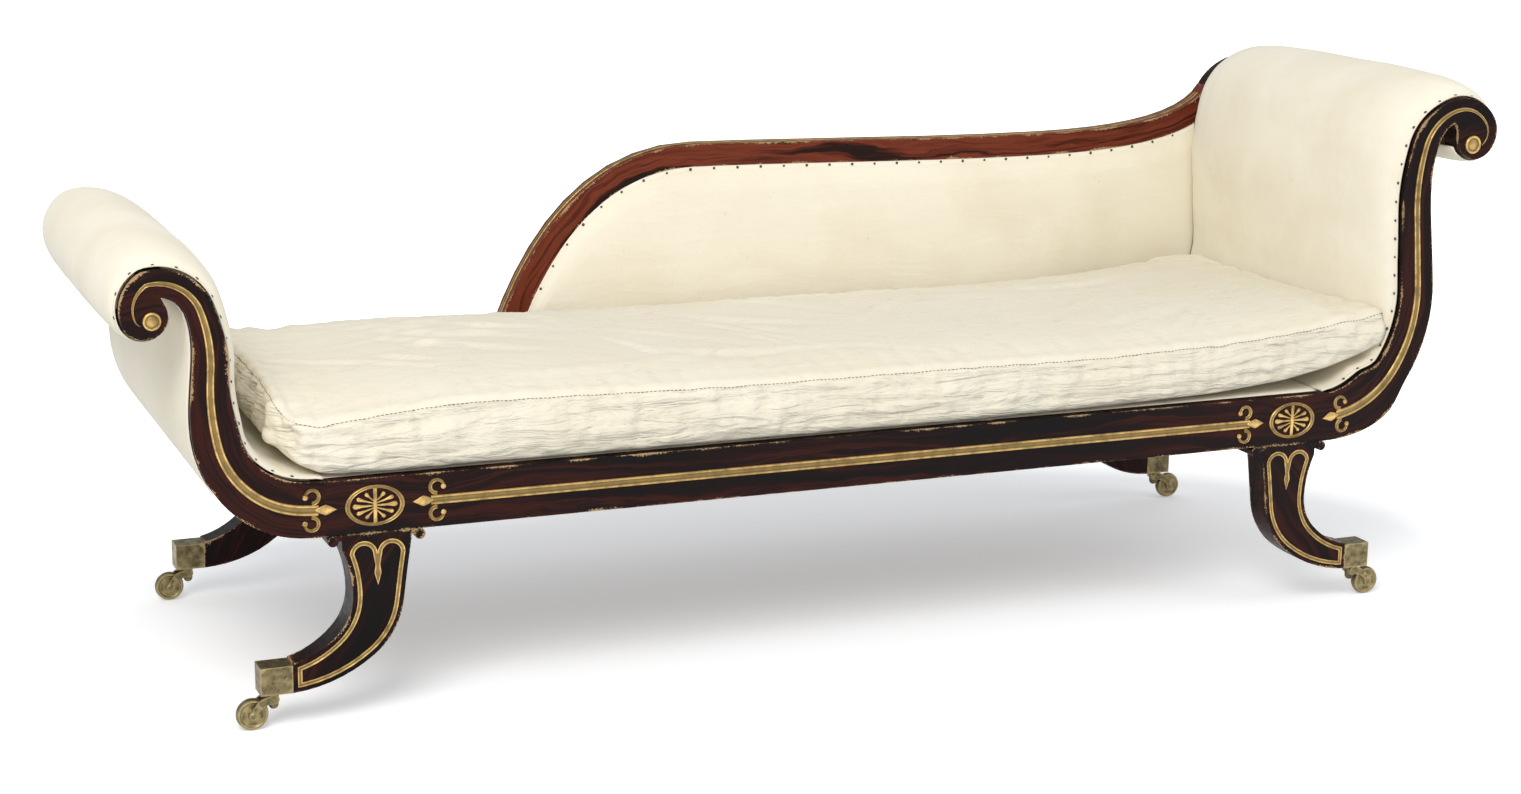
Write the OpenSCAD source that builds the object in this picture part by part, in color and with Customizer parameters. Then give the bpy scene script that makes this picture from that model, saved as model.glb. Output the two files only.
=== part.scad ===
// A day-bed with a scrolled head end, a lower scrolled foot end, a part-length back,
// four sabre legs on swivel casters, stuffed ends and back, and a loose squab cushion.
// +X points to the head end, -Y to the front, +Z up. The floor is z = 0.

/* [Frame] */
// Depth from the front face to the rear face
frame_depth = 640; // [560:5:720]
// Straight length of the rails, between the two scrolled ends
seat_length = 1576; // [1480:2:1700]
// Height of the rails
rail_height = 76.5; // [70:0.5:84]
// Thickness of the rails and of the scrolled ends
rail_thick = 34; // [30:0.5:40]
// Floor to the underside of the rails
rail_clearance = 264.5; // [256:0.5:275]
// Width of the rebate that holds the webbing
rebate_width = 14; // [10:0.5:18]
// Depth of the rebate that holds the webbing
rebate_depth = 12; // [10:0.5:16]

/* [Scrolled ends] */
// Height that the foot scroll rises above the rail's underside
foot_rise = 374; // [350:1:400]
// Height that the head scroll rises above the rail's underside
head_rise = 529.5; // [500:0.5:560]
// Radius of the round rail inside each roll
roll_rail_r = 12; // [8:0.5:14]
// Thickness of the flat stay rails inside each end
stay_rail_thick = 22; // [16:0.5:26]
// Radius of the gilt boss on the foot scroll's eye
foot_boss_r = 12; // [8:0.5:14]
// Radius of the gilt boss on the head scroll's eye
head_boss_r = 14.2; // [9:0.1:16]
// Height of the eye bosses above the wood
boss_height = 3.5; // [2:0.1:6]

/* [Back] */
// Distance from the frame's middle to the foot of the crest rail
crest_foot_out = 361.5; // [300:0.5:420]
// Height of the crest rail's centre line above the rails
crest_rise = 320; // [290:1:340]
// Height of the crest rail across its own line
crest_height = 36; // [30:0.5:42]
// Thickness of the stuffed back
back_pad_thick = 12; // [8:0.5:13]
// Swell of the back's front face at its middle
back_pad_crown = 9; // [4:0.5:14]
// Width of the upright posts inside the back
back_post_width = 40; // [30:1:50]

/* [Legs] */
// Distance that the legs stand toward the head end from the rails' middle
leg_shift = 4.5; // [0:0.5:8]
// Distance from the seat's end out to the wooden toe of each leg
leg_toe_reach = 54; // [40:0.5:70]
// Thickness of a leg below the rail
leg_thick = 44; // [40:0.5:50]
// Height of the toe's underside above the floor
toe_bottom = 51; // [46:0.5:56]
// Height of the toe
toe_height = 41; // [38:0.5:46]
// Radius of the leg's outer sweep beside the toe
leg_outer_r = 200; // [192:1:208]
// Radius of the leg's outer sweep at the knee
leg_knee_r = 110; // [105:0.5:115]
// Radius of the leg's flare below the rail
leg_flare_r = 2500; // [2200:50:3000]
// Radius of the leg's inner sweep beside the toe
leg_inner_low_r = 125; // [120:0.5:130]
// Radius of the leg's inner sweep at mid height
leg_inner_mid_r = 75; // [72:0.5:79]
// Radius of the leg's inner sweep below the rail
leg_inner_top_r = 160; // [152:1:168]
// Radius of the small carved ears beside each leg head
ear_r = 7.5; // [5:0.1:9]

/* [Casters] */
// Length of the brass toe socket
socket_length = 44; // [40:0.5:50]
// Width of the brass toe socket
socket_width = 36; // [33:0.5:38]
// Height of the brass toe socket
socket_height = 39; // [37:0.5:40]
// Wall of the brass toe socket
socket_wall = 1.6; // [1.2:0.1:2.4]
// Thickness of the socket's floor, which carries the swivel
socket_floor = 4; // [3:0.1:5]
// Distance from the toe to the swivel axis
swivel_out = 23.6; // [21:0.1:25]
// Radius of the swivel spindle
spindle_r = 4; // [3:0.1:4.6]
// Length of the spindle inside the socket and the toe
spindle_length = 26; // [20:0.5:30]
// Radius of the wheel
wheel_r = 22; // [20:0.1:23]
// Width of the wheel
wheel_width = 14; // [11:0.1:15]
// Crown of the wheel's tread
wheel_crown = 1.6; // [0.8:0.1:2.4]
// Distance from the swivel axis to the wheel's axle
trail = 29.4; // [29:0.1:32]
// Radius of the axle pin
axle_r = 3; // [2.4:0.1:3.6]
// Radius of the horn's round-ended boss under the socket
horn_r = 7.6; // [6.8:0.1:8.2]
// Thickness of each horn arm
horn_arm = 3.2; // [2.6:0.1:4]
// Width of a horn arm where it leaves the boss
horn_root = 12; // [10:0.1:13]

/* [Upholstery] */
// Thickness of the webbing
web_thick = 1.5; // [1:0.1:2]
// Width of the webbing
web_width = 50; // [40:1:60]
// Thickness of the hessian over the webbing
hessian_thick = 1; // [0.6:0.1:1.4]
// Height of the stuffed deck above the rail
deck_proud = 2; // [1:0.5:5]
// Thickness of the foot pad at its edges
foot_pad_edge = 4; // [3.5:0.1:6]
// Thickness of the foot pad at its middle
foot_pad_crown = 27; // [20:0.5:32]
// Thickness of the head pad at its edges
head_pad_edge = 4; // [3.5:0.1:6]
// Thickness of the head pad at its middle
head_pad_crown = 40; // [30:0.5:46]
// Depth of bare wood in front of the upholstery
show_edge = 9; // [6:0.5:12]
// Thickness of the outside covers
cover_thick = 2; // [1.4:0.1:3]

/* [Squab cushion] */
// Length of the cushion that rides on the foot pad, past the seat's end
squab_foot_reach = 53.5; // [27:0.5:58]
// Length of the cushion that rides on the head pad, past the seat's end
squab_head_reach = 75; // [47:1:79]
// Distance from the frame's middle to the cushion's front edge
squab_front = 304; // [290:1:310]
// Distance from the frame's middle to the cushion's rear edge
squab_rear = 246; // [230:1:250]
// Height of the cushion's sides
squab_side = 80; // [65:1:90]
// Swell of the cushion's top above its sides
squab_crown = 24; // [12:1:30]
// Rise of the cushion's foot end where it rides on the pad
squab_foot_lift = 30; // [26:1:40]
// Rise of the cushion's head end where it rides on the pad
squab_head_lift = 52; // [50:1:60]

/* [Gilding and nails] */
// Height of the gilt mouldings above the wood
gilt_relief = 1.6; // [1:0.1:2.4]
// Width of the gilt moulding on the rail
rail_gilt_width = 13; // [12:0.5:15]
// Width of the gilt moulding where it leaves the rail on a scrolled end
scroll_gilt_width = 15; // [11:0.5:17]
// Width of the gilt line on the legs
leg_gilt_width = 6; // [4.5:0.1:7]
// Distance from a leg's edge to its gilt line
leg_gilt_inset = 6.5; // [5:0.1:8]
// Distance from the rail down to the foot of the gilt arches on a leg
leg_arch_drop = 29.5; // [28:0.5:34]
// Width of the oval rosettes
rosette_width = 82; // [74:1:90]
// Height of the oval rosettes
rosette_height = 57; // [50:1:62]
// Distance from the seat's end in to each rosette's middle
rosette_inset = 62.5; // [53:0.5:73]
// Radius of the upholstery nails
nail_r = 3; // [2:0.1:3.5]
// Spacing of the nails on the scrolled ends
nail_pitch = 29; // [24:1:36]
// Spacing of the nails under the crest rail
crest_nail_pitch = 41; // [34:1:50]

/* [Hidden] */

// Fits and allowances
fit = 0.3;
bore_fit = 0.05;
overrun = 5;
step_turn = 5;
pad_step_turn = 9;
roll_step_turn = 16;

// Places of the frame
half_depth = frame_depth / 2;
half_seat = seat_length / 2;
inner_face = half_depth - rail_thick;
rail_top = rail_clearance + rail_height;
rail_mid = rail_clearance + rail_height / 2;
cover_edge = half_depth - show_edge;
leg_toe_out = half_seat + leg_toe_reach;
rosette_out = half_seat - rosette_inset;
squab_foot_out = half_seat + squab_foot_reach;
squab_head_out = half_seat + squab_head_reach;
web_level = rail_top - rebate_depth;

// Each scrolled end is a chain of arcs. A row is the arc's length as a share of the end's
// rise, its turn in degrees, and the wood's width at the arc's end as a share of the rail.
foot_arc_shares = [
    [0.083, 5.6, 1], [0.417, 71.8, 0.817], [0.26, 17.4, 0.626],
    [0.229, -23.6, 0.495], [0.172, -63.7, 0.476], [0.056, -20.8, 0.469],
];
head_arc_shares = [
    [0.178, 35.1, 1.149], [0.102, 22, 0.793], [0.272, 38.6, 0.77], [0.211, -0.3, 0.686],
    [0.194, -19.7, 0.596], [0.132, -53.4, 0.466], [0.018, -7.3, 0.456],
];
// The curls carry the outer edge on round the eye to the notch.
foot_curl_shares = [[0.008, -15.9], [0.212, -81.4], [0.273, -192.2]];
head_curl_shares = [[0.166, -72.3], [0.121, -86.3], [0.154, -128.3], [0.035, 20]];
// Place of each eye, out from the start of the scroll and up from the rail's middle.
foot_eye_shares = [0.586, 0.722];
head_eye_shares = [0.459, 0.788];

// Steps along a chain of arcs, as [x, z, heading, width] at every few degrees.
function arc_point(p, h, run, turn) =
    abs(turn) < 0.5
    ? [p[0] + run * cos(h), p[1] + run * sin(h)]
    : let (r = run / turn * 180 / PI)
      [p[0] + r * (sin(h + turn) - sin(h)), p[1] + r * (cos(h) - cos(h + turn))];
function row_steps(row, step) = max(2, ceil(abs(row[1]) / step));
function ease(t) = t * t * (3 - 2 * t);
function chain(rows, rise, wide, p, step = step_turn, i = 0) =
    i >= len(rows) ? [] :
    let (
        row = rows[i],
        n = row_steps(row, step),
        w = len(row) > 2 ? row[2] * wide : 0,
        points = [for (k = [1:n])
            let (t = k / n, q = arc_point(p, p[2], rise * row[0] * t, row[1] * t))
            [q[0], q[1], p[2] + row[1] * t, p[3] + (w - p[3]) * ease(t)]]
    )
    concat(points, chain(rows, rise, wide, points[n - 1], step, i + 1));

// Points moved off a line, to its left for a positive distance.
function beside(points, d) =
    [for (p = points) [p[0] - sin(p[2]) * d, p[1] + cos(p[2]) * d, p[2], 0]];
function edge(points, side) =
    [for (p = points) let (d = side * p[3] / 2) [p[0] - sin(p[2]) * d, p[1] + cos(p[2]) * d, p[2], 0]];
function flat(points) = [for (p = points) [p[0], p[1]]];
function reversed(points) = [for (i = [len(points) - 1:-1:0]) points[i]];
function part_of(points, a, b) =
    [for (i = [round(a * (len(points) - 1)):round(b * (len(points) - 1))]) points[i]];
function step_length(points, i) =
    norm([points[i][0] - points[i - 1][0], points[i][1] - points[i - 1][1]]);
function run_to(points, i) = i <= 0 ? 0 : run_to(points, i - 1) + step_length(points, i);
function at_run(points, run, i = 1) =
    let (s = step_length(points, i))
    run <= s || i >= len(points) - 1
    ? let (t = run / s, a = points[i - 1], b = points[i])
      [a[0] + (b[0] - a[0]) * t, a[1] + (b[1] - a[1]) * t, a[2] + (b[2] - a[2]) * t, 0]
    : at_run(points, run - s, i + 1);

// Where a line first crosses a height, and its height where it first passes a place.
function x_at(line, z, i = 1) =
    line[i][1] >= z || i >= len(line) - 1
    ? let (a = line[i - 1], b = line[i], t = (z - a[1]) / (b[1] - a[1]))
      a[0] + (b[0] - a[0]) * t
    : x_at(line, z, i + 1);
function z_at(line, x, i = 1) =
    line[i][0] >= x || i >= len(line) - 1
    ? let (a = line[i - 1], b = line[i], t = (x - a[0]) / (b[0] - a[0]))
      a[1] + (b[1] - a[1]) * t
    : z_at(line, x, i + 1);

// The neck side of an end stops at the notch, where its last arc begins.
function neck(spine, rows) =
    edge([for (i = [0:len(spine) - 1 - row_steps(rows[len(rows) - 1], step_turn)]) spine[i]], -1);

scroll_start = [half_seat, rail_mid, 0, rail_height];
foot_spine = concat([scroll_start], chain(foot_arc_shares, foot_rise, rail_height, scroll_start));
head_spine = concat([scroll_start], chain(head_arc_shares, head_rise, rail_height, scroll_start));
foot_top = edge(foot_spine, 1);
head_top = edge(head_spine, 1);
foot_curl = chain(foot_curl_shares, foot_rise, 0, foot_top[len(foot_top) - 1]);
head_curl = chain(head_curl_shares, head_rise, 0, head_top[len(head_top) - 1]);
foot_neck = neck(foot_spine, foot_arc_shares);
head_neck = neck(head_spine, head_arc_shares);
foot_outline = flat(concat(foot_top, foot_curl, reversed(foot_neck)));
head_outline = flat(concat(head_top, head_curl, reversed(head_neck)));
foot_eye = [half_seat + foot_eye_shares[0] * foot_rise, rail_mid + foot_eye_shares[1] * foot_rise];
head_eye = [half_seat + head_eye_shares[0] * head_rise, rail_mid + head_eye_shares[1] * head_rise];

// The line that each end's upholstery follows: the seat side, then round the roll.
foot_wrap_share = 0.86;
head_wrap_share = 0.84;
function wrap(rows, curl_rows, rise, share, step, roll_step) =
    let (
        spine = concat([scroll_start], chain(rows, rise, rail_height, scroll_start, step)),
        top = edge(spine, 1),
        curl = chain(curl_rows, rise, 0, top[len(top) - 1], roll_step)
    )
    concat(part_of(top, 1 / (len(top) - 1), 1), part_of(curl, 0, share));
foot_path = wrap(foot_arc_shares, foot_curl_shares, foot_rise, foot_wrap_share, step_turn, step_turn);
head_path = wrap(head_arc_shares, head_curl_shares, head_rise, head_wrap_share, step_turn, step_turn);
foot_pad_path = wrap(
    foot_arc_shares, foot_curl_shares, foot_rise, foot_wrap_share, pad_step_turn, roll_step_turn);
head_pad_path = wrap(
    head_arc_shares, head_curl_shares, head_rise, head_wrap_share, pad_step_turn, roll_step_turn);

// Stations of a stuffed end from front to rear, as a share of the half depth and a share of
// the pad's swell. The outermost pair is the flat edge that the nails hold.
pad_station_shares = [
    [-1, 0], [-0.974, 0], [-0.955, 0.3], [-0.9, 0.58], [-0.75, 0.84], [-0.35, 1],
    [0.35, 1], [0.75, 0.84], [0.9, 0.58], [0.955, 0.3], [0.974, 0], [1, 0],
];
// How full the pad is along its path, from the deck to the underside of the roll.
foot_full_shares = [
    [0, 0], [0.08, 0.12], [0.2, 0.5], [0.34, 0.8], [0.55, 1], [0.75, 0.85], [0.88, 0.4], [1, 0.1],
];
head_full_shares = [
    [0, 0], [0.06, 0.12], [0.16, 0.36], [0.3, 0.62], [0.5, 0.8], [0.66, 1], [0.84, 0.6], [0.93, 0.25],
    [1, 0.1],
];
function pad_face(path, rim, crown, full_shares, fullness) =
    let (total = run_to(path, len(path) - 1))
    [for (i = [0:len(path) - 1])
        let (
            p = path[i],
            swell = rim + (crown - rim) * fullness * lookup(run_to(path, i) / total, full_shares)
        )
        [p[0] - sin(p[2]) * swell, p[1] + cos(p[2]) * swell]];

// The crest rail's centre line is three curves. A row is a control point, out from the
// crest's foot as a share of its run, and up from the rails as a share of its rise.
crest_shares = [
    [[0, 0], [0.04, 0.522], [0.118, 1], [0.263, 1]],
    [[0.263, 1], [0.404, 1], [0.585, 0.972], [0.726, 0.978]],
    [[0.726, 0.978], [0.891, 0.977], [0.997, 1.034], [1.0276, 1.2325]],
];
crest_steps = 12;
head_meets = [for (p = head_top) if (p[1] < rail_top + crest_rise) p];
crest_run = crest_foot_out + head_meets[len(head_meets) - 1][0];
function blend(c, t) =
    let (s = 1 - t)
    c[0] * s * s * s + 3 * c[1] * s * s * t + 3 * c[2] * s * t * t + c[3] * t * t * t;
function slope(c, t) =
    let (s = 1 - t)
    (c[1] - c[0]) * s * s + 2 * (c[2] - c[1]) * s * t + (c[3] - c[2]) * t * t;
function crest_place(q) = [q[0] * crest_run - crest_foot_out, rail_top + q[1] * crest_rise];
crest_spine = [for (c = crest_shares) for (k = [0:crest_steps - 1])
    let (t = k / (crest_steps - 1), p = crest_place(blend(c, t)), d = slope(c, t))
    if (k > 0 || c == crest_shares[0])
    [p[0], p[1], atan2(d[1] * crest_rise, d[0] * crest_run), crest_height]];
crest_top = edge(crest_spine, 1);
crest_under = edge(crest_spine, -1);

// The outermost points of the stuffed rolls, the bosses and the socket screws, which centre
// the whole piece on its origin.
function reach(points) = max([for (p = points) p[0]]);
foot_reach = reach(pad_face(foot_pad_path, foot_pad_edge, foot_pad_crown, foot_full_shares, 1));
head_reach = reach(pad_face(head_pad_path, head_pad_edge, head_pad_crown, head_full_shares, 1));
centre_x = (head_reach - foot_reach) / 2;
socket_screw_head = 1;
centre_y = (socket_screw_head - max(boss_height, gilt_relief)) / 2;

wood = "#2b120c";
crest_wood = "#4a1a0e";
hidden_wood = "#a98458";
gilt = "#b08d3c";
old_brass = "#6d6240";
calico = "#e9e3cc";
jute = "#8c744c";
iron = "#3a332c";

module placed() {
    translate([-centre_x, -centre_y, 0]) children();
}

// A flat outline in x and z, standing between two depths.
module upright(y0, y1) {
    translate([0, y1, 0]) rotate([90, 0, 0]) linear_extrude(y1 - y0) children();
}

module foot_side() {
    mirror([1, 0, 0]) children();
}

// Rings of points joined into one closed skin. Each ring is a list of [x, y, z], whose
// first half faces its second half.
module skin(rings) {
    n = len(rings[0]);
    last = (len(rings) - 1) * n;
    sides = [for (i = [0:len(rings) - 2]) for (k = [0:n - 1])
        let (a = i * n + k, b = i * n + (k + 1) % n) each [[a, b, b + n], [a, b + n, a + n]]];
    caps = [for (k = [0:floor((n - 1) / 2) - 1])
        let (a = k, b = k + 1, c = n - 2 - k, d = n - 1 - k)
        each concat(
            [[b, a, d], [last + a, last + b, last + d]],
            b == c ? [] : [[b, d, c], [last + b, last + c, last + d]]
        )];
    polyhedron(points = [for (r = rings) each r], faces = concat(sides, caps));
}

// Rails and hidden framing

module rail(sign) {
    difference() {
        translate([-half_seat, sign > 0 ? inner_face : -half_depth, rail_clearance])
            cube([seat_length, rail_thick, rail_height]);
        translate([
            -half_seat - overrun, sign > 0 ? inner_face - overrun : -inner_face - rebate_width, web_level,
        ])
            cube([seat_length + 2 * overrun, rebate_width + overrun, rebate_depth + overrun]);
    }
}

module front_rail() color(wood) placed() rail(-1);
module rear_rail() color(wood) placed() rail(1);

cross_rail_thick = 30;
cross_rail_height = 52;
end_rail_inset = 12;
brace_share = 0.34;
cross_rail_places = [
    -half_seat + end_rail_inset, -brace_share * half_seat - cross_rail_thick / 2,
    brace_share * half_seat - cross_rail_thick / 2, half_seat - end_rail_inset - cross_rail_thick,
];

module seat_cross_rails() color(hidden_wood) placed() {
    for (x = cross_rail_places)
        translate([x, -inner_face, web_level - cross_rail_height])
            cube([cross_rail_thick, 2 * inner_face, cross_rail_height]);
}

block_size = 62;
block_height = 40;
block_drop = 6;
block_edge = half_seat - end_rail_inset - cross_rail_thick;
screw_r = 2.6;
screw_head_r = 4.6;
screw_head = 2.4;
screw_reach = 18;

module block_outline() {
    polygon([
        [0, 0], [-block_size, 0], [-block_size, block_size * 0.2], [-block_size * 0.2, block_size],
        [0, block_size],
    ]);
}

module each_corner() {
    for (sx = [0, 1]) for (sy = [0, 1])
        mirror([sx, 0, 0]) mirror([0, sy, 0]) children();
}

// The screws run square to the block's long slanted face.
module block_screw_places() {
    for (share = [0.36, 0.64])
        translate([
            -block_size * (1 - 0.8 * share), block_size * (0.2 + 0.8 * share),
            web_level - block_drop - block_height / 2,
        ]) rotate([0, 0, 135]) rotate([0, 90, 0]) children();
}

module corner_blocks() color(hidden_wood) placed() each_corner()
    translate([block_edge, -inner_face, 0]) difference() {
        translate([0, 0, web_level - block_drop - block_height]) linear_extrude(block_height) block_outline();
        block_screw_places() translate([0, 0, -block_size])
            cylinder(r = screw_r + bore_fit, h = 2 * block_size, $fn = 32);
    }

module corner_block_screws() color(iron) placed() each_corner()
    translate([block_edge, -inner_face, 0]) block_screw_places() {
        translate([0, 0, -screw_reach]) cylinder(r = screw_r, h = screw_reach, $fn = 32);
        cylinder(r = screw_head_r, h = screw_head, $fn = 32);
    }

// Scrolled ends

module scroll_end(outline, sign) {
    upright(sign > 0 ? inner_face : -half_depth, sign > 0 ? half_depth : -inner_face) polygon(outline);
}

module foot_scroll_front() color(wood) placed() foot_side() scroll_end(foot_outline, -1);
module foot_scroll_rear() color(wood) placed() foot_side() scroll_end(foot_outline, 1);
module head_scroll_front() color(wood) placed() scroll_end(head_outline, -1);
module head_scroll_rear() color(wood) placed() scroll_end(head_outline, 1);

stay_shares = [0.22, 0.52, 0.8];
stay_wide_share = 0.62;

module end_rails(spine, eye) {
    for (share = stay_shares) {
        p = spine[round(share * (len(spine) - 1))];
        wide = p[3] * stay_wide_share;
        upright(-inner_face, inner_face) translate([p[0], p[1]]) rotate(p[2])
            translate([-stay_rail_thick / 2, -wide / 2]) square([stay_rail_thick, wide]);
    }
    translate([eye[0], inner_face, eye[1]]) rotate([90, 0, 0])
        cylinder(r = roll_rail_r, h = 2 * inner_face, $fn = 48);
}

module foot_cross_rails() color(hidden_wood) placed() foot_side() end_rails(foot_spine, foot_eye);
module head_cross_rails() color(hidden_wood) placed() end_rails(head_spine, head_eye);

// Crest rail and back framing

module crest_rail() color(crest_wood) placed() difference() {
    upright(inner_face, half_depth) polygon(concat(flat(crest_top), reversed(flat(crest_under))));
    upright(inner_face - overrun, half_depth + overrun) polygon(head_outline);
    translate([-half_seat, inner_face - overrun, 0])
        cube([seat_length, rail_thick + 2 * overrun, rail_top]);
}

post_shares = [0.36, 0.68];
post_thick = 14;
back_rebate = 5;

function under_at(x) = z_at(crest_under, x);

module back_posts() color(hidden_wood) placed() {
    for (share = post_shares) {
        x = share * crest_run - crest_foot_out;
        low = min(under_at(x), under_at(x + back_post_width));
        translate([x, half_depth - back_rebate - post_thick, rail_top])
            cube([back_post_width, post_thick, low - rail_top - fit]);
    }
}

// Legs

toe_rise_turn = 3;
toe_start = [leg_toe_out, toe_bottom, 180 - toe_rise_turn, 0];
leg_outer_turn = 35;
leg_knee_turn = 45;
leg_flare_turn = 2;
leg_low_turn = 33;
leg_mid_turn = 45;
leg_top_turn = 24;
toe_slope = 12;
turn_to_run = PI / 180;

// Both edges of the leg start at its toe and climb to the rail.
leg_convex = chain(
    [[leg_outer_turn * turn_to_run, -leg_outer_turn]], leg_outer_r, 0, toe_start);
leg_knee = chain(
    [[leg_knee_turn * turn_to_run, -leg_knee_turn]], leg_knee_r, 0, leg_convex[len(leg_convex) - 1]);
leg_flare = chain(
    [[leg_flare_turn * turn_to_run, leg_flare_turn]], leg_flare_r, 0, leg_knee[len(leg_knee) - 1]);
toe_top = [leg_toe_out, toe_bottom + toe_height, 180 - toe_slope, 0];
leg_low = chain([[leg_low_turn * turn_to_run, -leg_low_turn]], leg_inner_low_r, 0, toe_top);
leg_mid = chain(
    [[leg_mid_turn * turn_to_run, -leg_mid_turn]], leg_inner_mid_r, 0, leg_low[len(leg_low) - 1]);
leg_top = chain(
    [[leg_top_turn * turn_to_run, -leg_top_turn]], leg_inner_top_r, 0, leg_mid[len(leg_mid) - 1]);
function below_ears(points) = [for (p = points) if (p[1] < rail_clearance - ear_r) [p[0], p[1]]];
leg_outside = below_ears(concat([toe_start], leg_convex, leg_knee, leg_flare));
leg_inside = below_ears(concat([toe_top], leg_low, leg_mid, leg_top));
head_out = leg_inside[len(leg_inside) - 1][0];
head_in = leg_outside[len(leg_outside) - 1][0];
leg_outline = concat(
    leg_outside, [[head_in, rail_clearance], [head_out, rail_clearance]], reversed(leg_inside));
leg_back_taper = 8;
taper_share = 0.5;
tenon_gap = 0.2;
tenon_end = leg_toe_out + socket_length - socket_wall - tenon_gap;
caster_y = half_depth - socket_width / 2;
swivel_x = leg_toe_out + swivel_out;

// One corner's pieces are drawn at the front of the head end and mirrored from there.
module at_corner(sx, sy) {
    placed() translate([leg_shift, 0, 0])
        mirror([sx < 0 ? 1 : 0, 0, 0]) mirror([0, sy > 0 ? 1 : 0, 0]) children();
}

module leg_plan() {
    taper_x = leg_toe_out - (leg_toe_out - head_in) * taper_share;
    polygon([
        [head_in - ear_r * 3, -half_depth], [leg_toe_out, -half_depth],
        [leg_toe_out, -half_depth + leg_thick - leg_back_taper], [taper_x, -half_depth + leg_thick],
        [head_in - ear_r * 3, -half_depth + leg_thick],
    ]);
}

module leg_ears() {
    ear_z = rail_clearance - ear_r;
    ear_reach = ear_r * 1.6;
    upright(-half_depth, -half_depth + leg_thick) {
        translate([head_in - ear_reach, ear_z]) circle(r = ear_r, $fn = 40);
        translate([head_in - ear_reach, ear_z]) square([ear_reach, ear_r]);
        translate([head_out + ear_reach, ear_z]) circle(r = ear_r, $fn = 40);
        translate([head_out, ear_z]) square([ear_reach, ear_r]);
    }
}

module leg() {
    inner_width = socket_width - 2 * socket_wall - 2 * tenon_gap;
    tenon_low = toe_bottom + socket_floor + tenon_gap;
    tenon_high = toe_bottom + socket_height - socket_wall - tenon_gap;
    difference() {
        union() {
            intersection() {
                upright(-half_depth, -half_depth + leg_thick) polygon(leg_outline);
                linear_extrude(rail_clearance) leg_plan();
            }
            leg_ears();
            translate([leg_toe_out, -caster_y - inner_width / 2, tenon_low])
                cube([tenon_end - leg_toe_out, inner_width, tenon_high - tenon_low]);
        }
        translate([swivel_x, -caster_y, 0])
            cylinder(r = spindle_r + 2 * bore_fit, h = toe_bottom + spindle_length + fit, $fn = 48);
    }
}

module leg_foot_front() color(wood) at_corner(-1, -1) leg();
module leg_foot_rear() color(wood) at_corner(-1, 1) leg();
module leg_head_front() color(wood) at_corner(1, -1) leg();
module leg_head_rear() color(wood) at_corner(1, 1) leg();

// Toe sockets and casters

module socket() {
    difference() {
        translate([leg_toe_out, -half_depth, toe_bottom])
            cube([socket_length, socket_width, socket_height]);
        translate([leg_toe_out - overrun, -half_depth + socket_wall, toe_bottom + socket_floor])
            cube([
                socket_length - socket_wall + overrun, socket_width - 2 * socket_wall,
                socket_height - socket_floor - socket_wall,
            ]);
        translate([swivel_x, -caster_y, 0])
            cylinder(r = spindle_r + bore_fit, h = toe_bottom + socket_floor + overrun, $fn = 48);
    }
}

module socket_foot_front() color(old_brass) at_corner(-1, -1) socket();
module socket_foot_rear() color(old_brass) at_corner(-1, 1) socket();
module socket_head_front() color(old_brass) at_corner(1, -1) socket();
module socket_head_rear() color(old_brass) at_corner(1, 1) socket();

socket_screw_r = 3.3;
socket_screw_in = 7.5;

module socket_screws() color(old_brass) {
    for (sx = [-1, 1]) for (sy = [-1, 1]) at_corner(sx, sy)
        translate([leg_toe_out + socket_screw_in, -half_depth, toe_bottom + socket_height / 2])
            rotate([90, 0, 0])
                cylinder(r1 = socket_screw_r, r2 = socket_screw_r / 2, h = socket_screw_head, $fn = 32);
}

axle_z = wheel_r;
swivel_gap = 0.3;
horn_top = toe_bottom - swivel_gap;
horn_low = axle_z + 4;
horn_collar = 2.6;
horn_eye_r = axle_r * 2;
horn_saddle = 7;
arm_gap = 0.5;
arm_inner = wheel_width / 2 + arm_gap;
arm_outer = arm_inner + horn_arm;
arm_turn = 74;
arm_step = 6;

// A horn's boss is turned, with a collar under the socket and a ball-shaped lower end.
module horn_boss() {
    ball_r = horn_r * 0.9;
    rotate_extrude($fn = 64) polygon(concat(
        [for (a = [-90:15:0]) [ball_r * cos(a), horn_low + ball_r + ball_r * sin(a)]],
        [
            [horn_r, horn_top - horn_collar * 2], [horn_r, horn_top - horn_collar * 1.1],
            [horn_r + horn_collar / 3, horn_top - horn_collar * 0.9],
            [horn_r + horn_collar / 3, horn_top - horn_collar * 0.3],
            [horn_r * 0.8, horn_top], [0, horn_top],
        ]
    ));
    translate([0, 0, horn_top - overrun])
        cylinder(r = spindle_r, h = toe_bottom + spindle_length - horn_top + overrun, $fn = 48);
}

// The side of an arm: one arc from a round root on the boss to a round eye at the axle.
module arm_outline() {
    root_z = horn_top - horn_collar - horn_root / 2;
    chord = norm([trail, root_z - axle_z]);
    heading = atan2(axle_z - root_z, trail) + arm_turn / 2;
    run = chord * (arm_turn * turn_to_run) / (2 * sin(arm_turn / 2));
    root = [0, root_z, heading, horn_root];
    spine = concat([root], chain([[run, -arm_turn, horn_eye_r * 1.4]], 1, 1, root, arm_step));
    polygon(flat(concat(edge(spine, 1), reversed(edge(spine, -1)))));
    translate([0, root_z]) circle(r = horn_root * 0.53, $fn = 48);
    translate([trail, axle_z]) circle(r = horn_eye_r, $fn = 48);
}

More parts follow.
